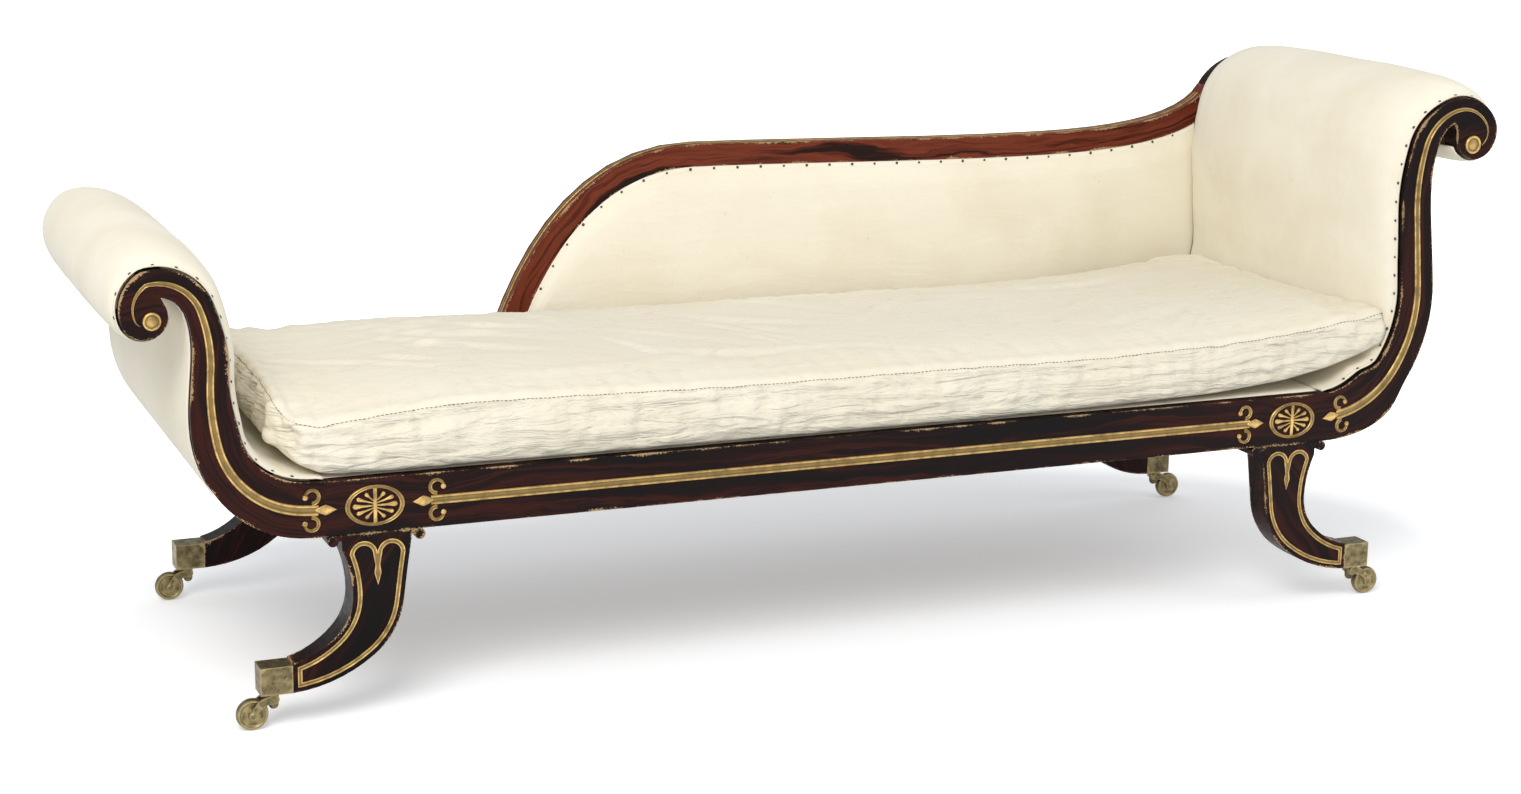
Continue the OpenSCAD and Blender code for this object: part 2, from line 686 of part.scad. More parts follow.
module horn() {
    translate([swivel_x, -caster_y, 0]) difference() {
        union() {
            horn_boss();
            for (y0 = [-arm_outer, arm_inner]) upright(y0, y0 + horn_arm) arm_outline();
            upright(-arm_outer, arm_outer) intersection() {
                arm_outline();
                translate([-horn_root, axle_z]) square([horn_root + horn_saddle, horn_top - axle_z]);
            }
        }
        translate([trail, arm_outer + overrun, axle_z]) rotate([90, 0, 0])
            cylinder(r = axle_r + bore_fit / 2, h = 2 * (arm_outer + overrun), $fn = 48);
    }
}

module horn_foot_front() color(old_brass) at_corner(-1, -1) horn();
module horn_foot_rear() color(old_brass) at_corner(-1, 1) horn();
module horn_head_front() color(old_brass) at_corner(1, -1) horn();
module horn_head_rear() color(old_brass) at_corner(1, 1) horn();

module wheel() {
    hub_r = axle_r * 2;
    dish = wheel_width * 0.16;
    half_wide = wheel_width / 2;
    tread = wheel_r - wheel_crown;
    shoulder = wheel_r - wheel_crown * 0.3;
    translate([swivel_x + trail, -caster_y, axle_z]) rotate([90, 0, 0]) rotate_extrude($fn = 96) polygon([
        [axle_r + bore_fit, -half_wide], [hub_r, -half_wide], [hub_r * 1.2, dish - half_wide],
        [wheel_r * 0.72, dish - half_wide], [wheel_r * 0.8, -half_wide * 0.92],
        [tread, -half_wide * 0.86], [shoulder, -half_wide * 0.5], [wheel_r, 0],
        [shoulder, half_wide * 0.5], [tread, half_wide * 0.86],
        [wheel_r * 0.8, half_wide * 0.92], [wheel_r * 0.72, half_wide - dish],
        [hub_r * 1.2, half_wide - dish], [hub_r, half_wide], [axle_r + bore_fit, half_wide],
    ]);
}

module wheel_foot_front() color(old_brass) at_corner(-1, -1) wheel();
module wheel_foot_rear() color(old_brass) at_corner(-1, 1) wheel();
module wheel_head_front() color(old_brass) at_corner(1, -1) wheel();
module wheel_head_rear() color(old_brass) at_corner(1, 1) wheel();

pin_head_r = 4.6;
pin_head = 1.4;

module axle_pin() {
    reach = arm_outer + fit / 3;
    translate([swivel_x + trail, -caster_y, axle_z]) rotate([90, 0, 0]) {
        translate([0, 0, -reach]) cylinder(r = axle_r, h = 2 * reach, $fn = 48);
        for (s = [-1, 1]) translate([0, 0, s > 0 ? reach : -reach - pin_head])
            cylinder(r1 = s > 0 ? pin_head_r : pin_head_r / 2, r2 = s > 0 ? pin_head_r / 2 : pin_head_r,
                h = pin_head, $fn = 40);
    }
}

module pin_foot_front() color(old_brass) at_corner(-1, -1) axle_pin();
module pin_foot_rear() color(old_brass) at_corner(-1, 1) axle_pin();
module pin_head_front() color(old_brass) at_corner(1, -1) axle_pin();
module pin_head_rear() color(old_brass) at_corner(1, 1) axle_pin();

// Webbing, hessian and the stuffed deck of the seat

web_rows = 5;
web_columns = 13;
rebate_line = inner_face + rebate_width;
web_margin = 2;
web_ends = half_seat - end_rail_inset;

module webbing_long() color(jute) placed() {
    gap = (2 * inner_face - web_rows * web_width) / (web_rows + 1);
    for (i = [0:web_rows - 1])
        translate([-web_ends, -inner_face + gap + i * (web_width + gap), web_level])
            cube([2 * web_ends, web_width, web_thick]);
}

module webbing_cross() color(jute) placed() {
    gap = (2 * web_ends - web_columns * web_width) / (web_columns + 1);
    for (i = [0:web_columns - 1])
        translate([-web_ends + gap + i * (web_width + gap), -rebate_line + web_margin, web_level + web_thick])
            cube([web_width, 2 * (rebate_line - web_margin), web_thick]);
}

hessian_level = web_level + 2 * web_thick;
deck_level = hessian_level + hessian_thick;

module seat_hessian() color(jute) placed()
    translate([-web_ends, -rebate_line + web_margin, hessian_level])
        cube([2 * web_ends, 2 * (rebate_line - web_margin), hessian_thick]);

module seat_deck() color(calico) placed()
    translate([-half_seat + fit, -rebate_line + fit, deck_level])
        cube([seat_length - 2 * fit, rebate_line + inner_face - 2 * fit, rail_top + deck_proud - deck_level]);

// The stuffed ends' skins run from front to rear through the pad stations.
module end_pad(path, rim, crown, full_shares, rear_edge) {
    bed = beside(path, web_thick + 3 * fit);
    skin([for (s = pad_station_shares)
        [for (p = concat(bed, reversed(pad_face(path, rim, crown, full_shares, s[1]))))
            [p[0], s[0] * (s[0] < 0 ? cover_edge : rear_edge), p[1]]]]);
}

module foot_pad() color(calico) placed() foot_side()
    end_pad(foot_pad_path, foot_pad_edge, foot_pad_crown, foot_full_shares, cover_edge);
module head_pad() color(calico) placed()
    end_pad(head_pad_path, head_pad_edge, head_pad_crown, head_full_shares, inner_face - fit);

module end_webbing(path, count, rear_edge) {
    total = run_to(path, len(path) - 1);
    gap = (total - count * web_width) / count;
    for (k = [0:count - 1]) {
        from = gap / 2 + k * (web_width + gap);
        strip = beside([for (t = [0:0.125:1]) at_run(path, from + web_width * t)], fit / 2);
        upright(-cover_edge + web_margin, rear_edge)
            polygon(concat(flat(strip), reversed(flat(beside(strip, web_thick)))));
    }
}

foot_web_count = 7;
head_web_count = 9;

module foot_webbing() color(jute) placed() foot_side()
    end_webbing(foot_path, foot_web_count, cover_edge - web_margin);
module head_webbing() color(jute) placed()
    end_webbing(head_path, head_web_count, inner_face - fit);

module outside_cover(neck, a, b) {
    line = part_of(neck, a, b);
    upright(-cover_edge, cover_edge)
        polygon(concat(flat(line), reversed(flat(beside(line, -cover_thick)))));
}

module foot_outside_cover() color(calico) placed() foot_side() outside_cover(foot_neck, 0.3, 0.93);
module head_outside_cover() color(calico) placed() outside_cover(head_neck, 0.3, 0.95);

// Stuffed back

back_face = inner_face - fit;
back_stations = 44;
// Rows up the stuffed back, as a share of the height below the nails and of its swell.
back_row_shares = [
    [0, 0], [0.03, 0], [0.09, 0.5], [0.27, 0.88], [0.52, 1], [0.77, 0.88], [0.94, 0.5], [1, 0],
];
back_foot_in = crest_height * 0.75;

// The back starts at the crest's foot and ends along the head pad's rear edge.
back_left = -crest_foot_out + back_foot_in;
back_end_line = beside(head_pad_path, head_pad_edge + 4 * fit);
back_top_level = rail_top + crest_rise;
function right_at(z) = x_at(back_end_line, min(z, back_top_level));
back_right = right_at(rail_top + crest_rise * 0.9);
back_low = rail_top + deck_proud + fit;
function back_floor(x) = x < half_seat ? back_low : max(back_low, z_at(back_end_line, x));
// Places near the right end lean to follow the head pad's edge.
function back_place(x, z) =
    let (t = (x - back_left) / (back_right - back_left))
    x + (right_at(z) - right_at(back_floor(x))) * pow(t, 8);

// The flat rim that the nails go through, measured square to the crest rail.
back_rim = beside(crest_under, -nail_r * 2.8);
function rim_at(x) = z_at(back_rim, max(x, back_rim[0][0]));

module back_pad() color(calico) placed() {
    stations = [for (i = [0:back_stations])
        back_left + (back_right - back_left) * (0.5 - cos(180 * i / back_stations) / 2)];
    rings = [for (x = stations)
        let (
            u = (x - back_left) / (back_right - back_left),
            low = back_floor(x),
            top_x = back_place(x, back_top_level),
            high = under_at(top_x) - 2 * fit,
            flat_from = max(low + (high - low) / 2, rim_at(top_x)),
            swell = back_pad_crown * (0.15 + 0.85 * pow(sin(180 * u), 0.4)),
            front = [for (r = back_row_shares) [swell * r[1], low + (flat_from - low) * r[0]]]
        )
        concat(
            [for (p = front) [back_place(x, p[1]), back_face - p[0], p[1]]],
            [[top_x, back_face, high], [top_x, back_face + back_pad_thick, high]],
            [for (p = reversed(front)) [back_place(x, p[1]), back_face + back_pad_thick, p[1]]]
        )];
    skin(rings);
}

module back_outside_cover() color(calico) placed() {
    stations = [for (i = [0:back_stations]) back_left + (back_right - back_left) * i / back_stations];
    face = half_depth - back_rebate + fit;
    end_low = back_floor(back_right);
    upright(face, face + cover_thick) polygon(concat(
        [for (x = stations) [x, back_floor(x)]],
        [for (t = [0.1:0.1:1]) let (z = end_low + (back_top_level - end_low) * t) [right_at(z), z]],
        [for (p = reversed(crest_under)) if (p[0] > back_left && p[0] < back_right) [p[0], p[1] - 2 * fit]],
        [[back_left, under_at(back_left) - 2 * fit]]
    ));
}

// Upholstery nails

nail_height = 1.6;

module nail() {
    rotate_extrude($fn = 24) polygon([
        [0, 0], [nail_r, 0], [nail_r * 0.92, nail_height * 0.4], [nail_r * 0.6, nail_height * 0.85],
        [0, nail_height],
    ]);
}

// A row of nails along a line in x and z, heads facing out from it.
module nail_row(path, first, pitch, lift, y) {
    total = run_to(path, len(path) - 1);
    count = floor((total - first - nail_r) / pitch);
    for (k = [0:count]) {
        a = at_run(path, first + k * pitch - nail_r);
        b = at_run(path, first + k * pitch + nail_r);
        turn = atan2(b[1] - a[1], b[0] - a[0]);
        p = beside([[(a[0] + b[0]) / 2, (a[1] + b[1]) / 2, turn, 0]], lift)[0];
        translate([p[0], y, p[1]]) rotate([0, -turn, 0]) nail();
    }
}

nail_margin = nail_r * 1.3;

// The nails stop short of the roll's underside, where the cover is folded in.
foot_nail_share = 0.8;
head_nail_share = 0.8;

module end_nails(path, share, rim, sides) {
    for (s = sides)
        nail_row(
            part_of(path, 0, share), nail_pitch, nail_pitch, rim + 2 * fit,
            s * (cover_edge - nail_margin));
}

module foot_nails() color(iron) placed() foot_side()
    end_nails(foot_pad_path, foot_nail_share, foot_pad_edge, [-1, 1]);
module head_nails() color(iron) placed() end_nails(head_pad_path, head_nail_share, head_pad_edge, [-1]);

module back_nails() color(iron) placed() {
    line = [for (p = beside(crest_under, -nail_margin))
        if (p[1] > back_low + crest_nail_pitch && p[0] < back_right - nail_margin) p];
    total = run_to(line, len(line) - 1);
    for (k = [0:floor(total / crest_nail_pitch)]) {
        p = at_run(line, k * crest_nail_pitch);
        translate([p[0], back_face - fit / 3, p[1]]) rotate([90, 0, 0]) nail();
    }
}

// Gilding

gilt_face = -half_depth;
fleur_size = 36;
line_share = 0.3;
rail_gilt_reach = rosette_out - rosette_width / 2 - fleur_size;

// A diamond point between two curled leaves, pointing along +x from the moulding's end.
module fleur() {
    leaf_r = fleur_size * 0.35;
    leaf_wide = fleur_size * 0.19;
    half_point = fleur_size * 0.22;
    polygon([
        [-fleur_size * 0.11, 0], [fleur_size * 0.28, half_point], [fleur_size * 0.72, 0],
        [fleur_size * 0.28, -half_point],
    ]);
    for (s = [-1, 1]) translate([-fleur_size * 0.235, s * fleur_size * 0.52]) {
        difference() {
            circle(r = leaf_r, $fn = 48);
            circle(r = leaf_r - leaf_wide, $fn = 48);
            translate([-2 * leaf_r, s > 0 ? -2 * leaf_r : 0]) square(2 * leaf_r);
        }
        translate([leaf_wide / 2 - leaf_r, 0]) circle(r = leaf_wide * 0.6, $fn = 24);
    }
}

module fleur_at(x, z, turn) {
    translate([x, z]) rotate(turn) fleur();
}

// The rail's moulding is a flat band with a shallow hollow along its middle.
module rail_band(wide, reach) {
    translate([-reach, rail_mid - wide / 2]) square([2 * reach, wide]);
}

module rail_gilt() color(gilt) placed() translate([leg_shift, 0, 0]) {
    line = rail_gilt_width * line_share;
    hollow = rail_gilt_width - 2 * line;
    upright(gilt_face - gilt_relief, gilt_face) {
        difference() {
            rail_band(rail_gilt_width, rail_gilt_reach);
            rail_band(hollow, rail_gilt_reach - line);
        }
        fleur_at(rail_gilt_reach, rail_mid, 0);
        fleur_at(-rail_gilt_reach, rail_mid, 180);
    }
    upright(gilt_face - gilt_relief / 2, gilt_face) rail_band(hollow + line, rail_gilt_reach - line / 2);
}

foot_gilt_start_share = 0.0145;
head_gilt_start_share = 0.05;
foot_gilt_skip_share = 0.08;
head_gilt_skip_share = 0.02;
gilt_end_share = 0.5;
gilt_keep_share = 0.55;
gilt_narrow_share = 0.65;
gilt_tip_share = 0.05;
hollow_end_share = 0.8;

// The moulding follows the middle of the wood, then a line inside the curl, and dies away.
function gilt_line(spine, curl, start, skip) = concat(
    part_of(spine, start, 1),
    beside(part_of(curl, skip, gilt_end_share), -spine[len(spine) - 1][3] / 2));
function gilt_fade(t) =
    let (past = (t - gilt_keep_share) / (1 - gilt_keep_share))
    t < gilt_keep_share
    ? 1 - (1 - gilt_narrow_share) * t / gilt_keep_share
    : gilt_narrow_share * (1 - past * past) + gilt_tip_share;

// A stretch of the moulding, as wide as a share of the whole band.
module gilt_band(line, share, first, last) {
    n = len(line) - 1;
    function moved(i, side) = beside([line[i]], scroll_gilt_width / 2 * gilt_fade(i / n) * side)[0];
    polygon(flat(concat(
        [for (i = [first:last]) moved(i, share)],
        [for (i = [last:-1:first]) moved(i, -share)]
    )));
}

module scroll_gilt(line) {
    n = len(line) - 1;
    last = round(n * hollow_end_share);
    upright(gilt_face - gilt_relief, gilt_face) {
        difference() {
            gilt_band(line, 1, 0, n);
            gilt_band(line, 1 - 2 * line_share, 1, last);
        }
        fleur_at(line[0][0], line[0][1], 180 + line[0][2]);
    }
    upright(gilt_face - gilt_relief / 2, gilt_face) intersection() {
        gilt_band(line, 1 - line_share, 0, last + 1);
        gilt_band(line, 1, 0, n);
    }
}

module foot_scroll_gilt() color(gilt) placed() foot_side()
    scroll_gilt(gilt_line(foot_spine, foot_curl, foot_gilt_start_share, foot_gilt_skip_share));
module head_scroll_gilt() color(gilt) placed()
    scroll_gilt(gilt_line(head_spine, head_curl, head_gilt_start_share, head_gilt_skip_share));

arch_level = rail_clearance - leg_arch_drop;
arch_in = x_at(leg_outside, arch_level) + leg_gilt_inset;
arch_out = x_at(leg_inside, arch_level) - leg_gilt_inset;
arch_r = (arch_out - arch_in) / 4;
// Half widths of the drop between the arches, and how far each lies below them, as shares
// of the line's width.
drop_shares = [[1, 0], [0.55, 2.7], [0.8, 4.5], [0, 7.3]];

// The gilt line goes round the leg and ends above in two arches with a drop between them.
module leg_line() {
    overlap = leg_gilt_width / 4;
    intersection() {
        difference() {
            offset(delta = -leg_gilt_inset) polygon(leg_outline);
            offset(delta = -leg_gilt_inset - leg_gilt_width) polygon(leg_outline);
        }
        square([2 * leg_toe_out, arch_level + overlap]);
    }
    for (x = [arch_in + arch_r, arch_out - arch_r]) translate([x, arch_level]) difference() {
        circle(r = arch_r, $fn = 72);
        circle(r = arch_r - leg_gilt_width, $fn = 72);
        translate([-2 * arch_r, -2 * arch_r]) square([4 * arch_r, 2 * arch_r]);
    }
    translate([(arch_in + arch_out) / 2, arch_level]) polygon(leg_gilt_width * concat(
        [[1, 0.25], [-1, 0.25]],
        [for (d = drop_shares) [-d[0], -d[1]]],
        [for (i = [len(drop_shares) - 2:-1:0]) [drop_shares[i][0], -drop_shares[i][1]]]
    ));
}

module leg_gilt() color(gilt) {
    for (sx = [-1, 1]) at_corner(sx, -1)
        upright(gilt_face - gilt_relief / 2, gilt_face) leg_line();
}

crest_line_width = 3;
crest_line_gap = 5;

module crest_gilt() color(gilt) placed() {
    line = edge(part_of(crest_spine, 0.02, 0.97), 1);
    middle = (inner_face + half_depth) / 2;
    for (s = [-1, 1])
        translate([0, middle + s * (crest_line_gap + crest_line_width) / 2, 0])
            upright(-crest_line_width / 2, crest_line_width / 2)
                polygon(concat(flat(line), reversed(flat(beside(line, gilt_relief / 2)))));
}

function oval(share) = [for (a = [0:7.5:352.5])
    [rosette_width / 2 * share * cos(a), rosette_height / 2 * share * sin(a)]];
rosette_rim_share = 0.83;
lobe_turn = 36;
// Round ends of the lobes, from the lowest to the highest, as shares of the rosette's width.
lobe_end_shares = [0.042, 0.046, 0.055, 0.046, 0.042];

// An oval ring with an upright bar and a fan of round-ended lobes on each side.
module rosette() {
    difference() {
        polygon(oval(1));
        polygon(oval(rosette_rim_share));
    }
    bar = rosette_width * 0.1;
    translate([-bar / 2, -rosette_height / 2 * 0.9]) square([bar, rosette_height * 0.9]);
    for (s = [-1, 1]) for (k = [0:len(lobe_end_shares) - 1]) {
        a = (k - (len(lobe_end_shares) - 1) / 2) * lobe_turn;
        end_r = rosette_width * lobe_end_shares[k];
        base = [s * bar * 0.3, 0];
        tip = [s * rosette_width * (0.06 + 0.28 * cos(a)), rosette_height * 0.29 * sin(a)];
        side = [base[1] - tip[1], tip[0] - base[0]] / norm(tip - base) * end_r;
        polygon([base + side * 0.3, base - side * 0.3, tip - side * 0.9, tip + side * 0.9]);
        translate(tip) circle(r = end_r, $fn = 24);
    }
}

module rosettes() color(gilt) placed() {
    for (sx = [-1, 1])
        upright(gilt_face - gilt_relief, gilt_face)
            translate([leg_shift + sx * rosette_out, rail_mid]) rosette();
}

module eye_boss(eye, r) {
    translate([eye[0], gilt_face, eye[1]]) rotate([90, 0, 0]) rotate_extrude($fn = 64) polygon([
        [0, 0], [r, 0], [r, boss_height * 0.35], [r * 0.9, boss_height * 0.7], [r * 0.76, boss_height * 0.45],
        [r * 0.6, boss_height * 0.75], [r * 0.3, boss_height * 0.95], [0, boss_height],
    ]);
}

module eye_bosses() color(gilt) placed() {
    foot_side() eye_boss(foot_eye, foot_boss_r);
    eye_boss(head_eye, head_boss_r);
}

// Loose squab cushion

squab_gap = 0.4;
squab_level = rail_top + deck_proud + squab_gap;
squab_stations = 30;
squab_length = squab_foot_out + squab_head_out;
foot_lift_share = 0.06;
head_lift_share = 0.2;
squab_corner = 34;
squab_edge_r = 24;

function squab_lift(x) =
    let (
        from_foot = (x + squab_foot_out) / squab_length,
        from_head = (squab_head_out - x) / squab_length,
        f = max(0, 1 - from_foot / foot_lift_share),
        h = max(0, 1 - from_head / head_lift_share)
    )
    squab_foot_lift * f * f + squab_head_lift * pow(h, 1.4);

// The cushion's ring at one place along it: a flat base, drawn-in sides and a crowned top.
function squab_ring(x) =
    let (
        near_end = min(x + squab_foot_out, squab_head_out - x),
        e = min(1, near_end / squab_corner),
        round_in = 1 - sqrt(max(0, 1 - (1 - e) * (1 - e))),
        inset = squab_corner * 0.7 * round_in,
        y0 = -squab_front + inset,
        y1 = squab_rear - inset,
        high = squab_side * (1 - 0.42 * round_in),
        low = squab_level + squab_lift(x) + squab_side * 0.2 * round_in,
        r = squab_edge_r * (1 - 0.5 * round_in),
        pinch = r * 0.3,
        swell = squab_crown * (0.2 + 0.8 * sqrt(e))
    )
    [
        [x, y0 + r, low], [x, y0 + r * 0.3, low + r * 0.3], [x, y0, low + high * 0.36],
        [x, y0 + pinch * 0.4, low + high * 0.62], [x, y0 + pinch, low + high * 0.9],
        [x, y0 + pinch + r * 0.5, low + high + r * 0.12],
        [x, y0 + (y1 - y0) * 0.14, low + high + swell * 0.4],
        [x, y0 + (y1 - y0) * 0.3, low + high + swell * 0.8], [x, (y0 + y1) / 2, low + high + swell],
        [x, y0 + (y1 - y0) * 0.7, low + high + swell * 0.8],
        [x, y0 + (y1 - y0) * 0.86, low + high + swell * 0.4],
        [x, y1 - pinch - r * 0.5, low + high + r * 0.12],
        [x, y1 - pinch, low + high * 0.9], [x, y1 - pinch * 0.4, low + high * 0.62],
        [x, y1, low + high * 0.36], [x, y1 - r * 0.3, low + r * 0.3], [x, y1 - r, low],
    ];

module squab_cushion() color(calico) placed() {
    ends = [0, 0.1, 0.3, 0.6];
    places = concat(
        [for (e = ends) -squab_foot_out + e * squab_corner],
        [for (i = [0:squab_stations])
            -squab_foot_out + squab_corner + (squab_length - 2 * squab_corner) * i / squab_stations],
        [for (i = [len(ends) - 1:-1:0]) squab_head_out - ends[i] * squab_corner]
    );
    skin([for (x = places) squab_ring(x)]);
}

front_rail();
rear_rail();
seat_cross_rails();
corner_blocks();
corner_block_screws();
foot_scroll_front();
foot_scroll_rear();
foot_cross_rails();
head_scroll_front();
head_scroll_rear();
head_cross_rails();
crest_rail();
back_posts();
leg_foot_front();
leg_foot_rear();
leg_head_front();
leg_head_rear();
socket_foot_front();
socket_foot_rear();
socket_head_front();
socket_head_rear();
socket_screws();
webbing_long();
webbing_cross();
seat_hessian();
seat_deck();
foot_webbing();
head_webbing();
foot_pad();
head_pad();
foot_outside_cover();
head_outside_cover();
back_pad();
back_outside_cover();
foot_nails();
head_nails();
back_nails();
rail_gilt();
foot_scroll_gilt();
head_scroll_gilt();
leg_gilt();
crest_gilt();
rosettes();
eye_bosses();
squab_cushion();
horn_foot_front();
horn_foot_rear();
horn_head_front();
horn_head_rear();
wheel_foot_front();
wheel_foot_rear();
wheel_head_front();
wheel_head_rear();
pin_foot_front();
pin_foot_rear();
pin_head_front();
pin_head_rear();
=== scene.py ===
"""A Regency day-bed: painted show wood, gilding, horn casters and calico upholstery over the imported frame."""
import logging
import math
from dataclasses import dataclass
from enum import Enum
from typing import Any, Callable, ClassVar, Iterable, Sequence

import bmesh
import bpy
import numpy as np
from mathutils import Matrix, Vector, noise


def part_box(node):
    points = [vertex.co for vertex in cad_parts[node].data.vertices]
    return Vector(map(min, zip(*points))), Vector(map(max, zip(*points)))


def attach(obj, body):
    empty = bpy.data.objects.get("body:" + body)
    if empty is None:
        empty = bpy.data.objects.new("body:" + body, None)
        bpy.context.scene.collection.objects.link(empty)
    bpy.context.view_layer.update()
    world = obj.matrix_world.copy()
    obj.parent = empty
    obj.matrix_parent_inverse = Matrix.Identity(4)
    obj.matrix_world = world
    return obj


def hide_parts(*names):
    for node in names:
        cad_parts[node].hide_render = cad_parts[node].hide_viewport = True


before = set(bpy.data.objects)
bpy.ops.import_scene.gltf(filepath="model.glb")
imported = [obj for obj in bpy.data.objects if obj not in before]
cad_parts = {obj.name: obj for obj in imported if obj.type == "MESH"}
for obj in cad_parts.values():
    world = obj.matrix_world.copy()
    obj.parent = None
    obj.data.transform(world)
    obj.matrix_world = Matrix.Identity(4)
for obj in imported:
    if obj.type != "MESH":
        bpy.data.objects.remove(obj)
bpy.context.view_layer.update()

LOG = logging.getLogger("day_bed")
Socket = bpy.types.NodeSocket
Piece = bpy.types.Object
Mesh = bpy.types.Mesh
Array = np.ndarray
Rows = Sequence[Sequence[float]]
# A form's points, its faces and a hollow value for each point
Form = tuple[Array, list[list[int]], Array]


@dataclass(frozen=True)
class Frame:
    """Sizes of the day-bed's frame, in metres, in the frame that the CAD model was drawn in."""

    centre_x: float = 0.0168406
    centre_y: float = -0.00125
    half_seat: float = 0.788
    rail_mid: float = 0.30275
    rail_height: float = 0.0765
    rail_top: float = 0.341
    half_depth: float = 0.32
    rail_thick: float = 0.034
    pad_front: float = 0.311
    step: float = 3.0

    @property
    def front(self) -> float:
        """The front face's place on Y."""
        return -self.half_depth - self.centre_y

    @property
    def rear(self) -> float:
        """The rear face's place on Y."""
        return self.half_depth - self.centre_y

    @property
    def inner_rear(self) -> float:
        """The rear rail's inner face on Y."""
        return self.rear - self.rail_thick


SIZES = Frame()


class Side(Enum):
    """The two ends of the day-bed."""

    FOOT = -1
    HEAD = 1


class Slot(Enum):
    """Names of the material slots."""

    ROSEWOOD = "rosewood"
    CREST = "crest_wood"
    FRAME_WOOD = "frame_wood"
    GILT = "gilt"
    BRASS = "old_brass"
    CALICO = "calico"
    JUTE = "jute"
    IRON = "iron"


# Lines and shapes


def chain(rows: Rows, rise: float, wide: float, start: Sequence[float], step: float) -> Array:
    """Follow a chain of arcs.

    Args:
        rows: length share, turn in degrees and, where it changes, the width share of each arc.
        rise: the length that the length shares follow.
        wide: the width that the width shares follow.
        start: x, z, heading in degrees and width where the chain starts.
        step: most degrees turned between two points.

    Returns:
        One row of x, z, heading and width for each point, with the start left out.
    """
    points: list[list[float]] = []
    x, z, heading, width = start
    for row in rows:
        run, turn = row[0] * rise, row[1]
        goal = row[2] * wide if len(row) > 2 else 0.0
        count = max(3, math.ceil(abs(turn) / step))
        for k in range(1, count + 1):
            t = k / count
            angle = math.radians(turn * t)
            h = math.radians(heading)
            if abs(turn) < 0.5:
                px, pz = x + run * t * math.cos(h), z + run * t * math.sin(h)
            else:
                r = run / math.radians(turn)
                px = x + r * (math.sin(h + angle) - math.sin(h))
                pz = z + r * (math.cos(h) - math.cos(h + angle))
            points.append([px, pz, heading + turn * t, width + (goal - width) * t * t * (3 - 2 * t)])
        x, z, heading, width = points[-1]
    return np.array(points)


def beside(line: Array, distance: Array | float) -> Array:
    """Move a line's points to its left by a distance."""
    moved = line.copy()
    h = np.radians(line[:, 2])
    moved[:, 0] -= np.sin(h) * distance
    moved[:, 1] += np.cos(h) * distance
    return moved


def run_along(line: Array) -> Array:
    """Distance along a line at each of its points."""
    return np.concatenate([[0.0], np.cumsum(np.hypot(*np.diff(line[:, :2], axis=0).T))])


def resampled(line: Array, places: Array) -> Array:
    """A line's rows at the given distances along it."""
    run = run_along(line)
    return np.stack([np.interp(places, run, line[:, k]) for k in range(line.shape[1])], axis=1)


def rows_of(line: Array, first: float, last: float) -> Array:
    """The part of a line between two shares of its points."""
    n = len(line) - 1
    return line[round(first * n):round(last * n) + 1]


def ring_faces(rings: int, count: int, looped: bool = False) -> list[list[int]]:
    """Faces between rings of points, one ring after another.

    Args:
        rings: how many rings there are.
        count: points in each ring.
        looped: whether the last ring meets the first; otherwise both are capped.

    Returns:
        The faces as lists of point numbers.
    """
    faces = []
    for i in range(rings if looped else rings - 1):
        here, there = i * count, (i + 1) % rings * count
        faces += [[here + k, here + (k + 1) % count, there + (k + 1) % count, there + k] for k in range(count)]
    if not looped:
        faces += [list(range(count))[::-1], list(range((rings - 1) * count, rings * count))]
    return faces


def grid_quads(rows: int, columns: int) -> tuple[Array, Array]:
    """The point numbers of a grid and its faces."""
    index = np.arange(rows * columns).reshape(rows, columns)
    return index, np.stack([index[:-1, :-1], index[1:, :-1], index[1:, 1:], index[:-1, 1:]], -1).reshape(-1, 4)


def level_grid(low: Sequence[float], high: Sequence[float], cell: float) -> list[Array]:
    """Places over a box's plan, about a cell apart."""
    spans = [np.linspace(low[k], high[k], round((high[k] - low[k]) / cell)) for k in (0, 1)]
    return np.meshgrid(*spans, indexing="ij")


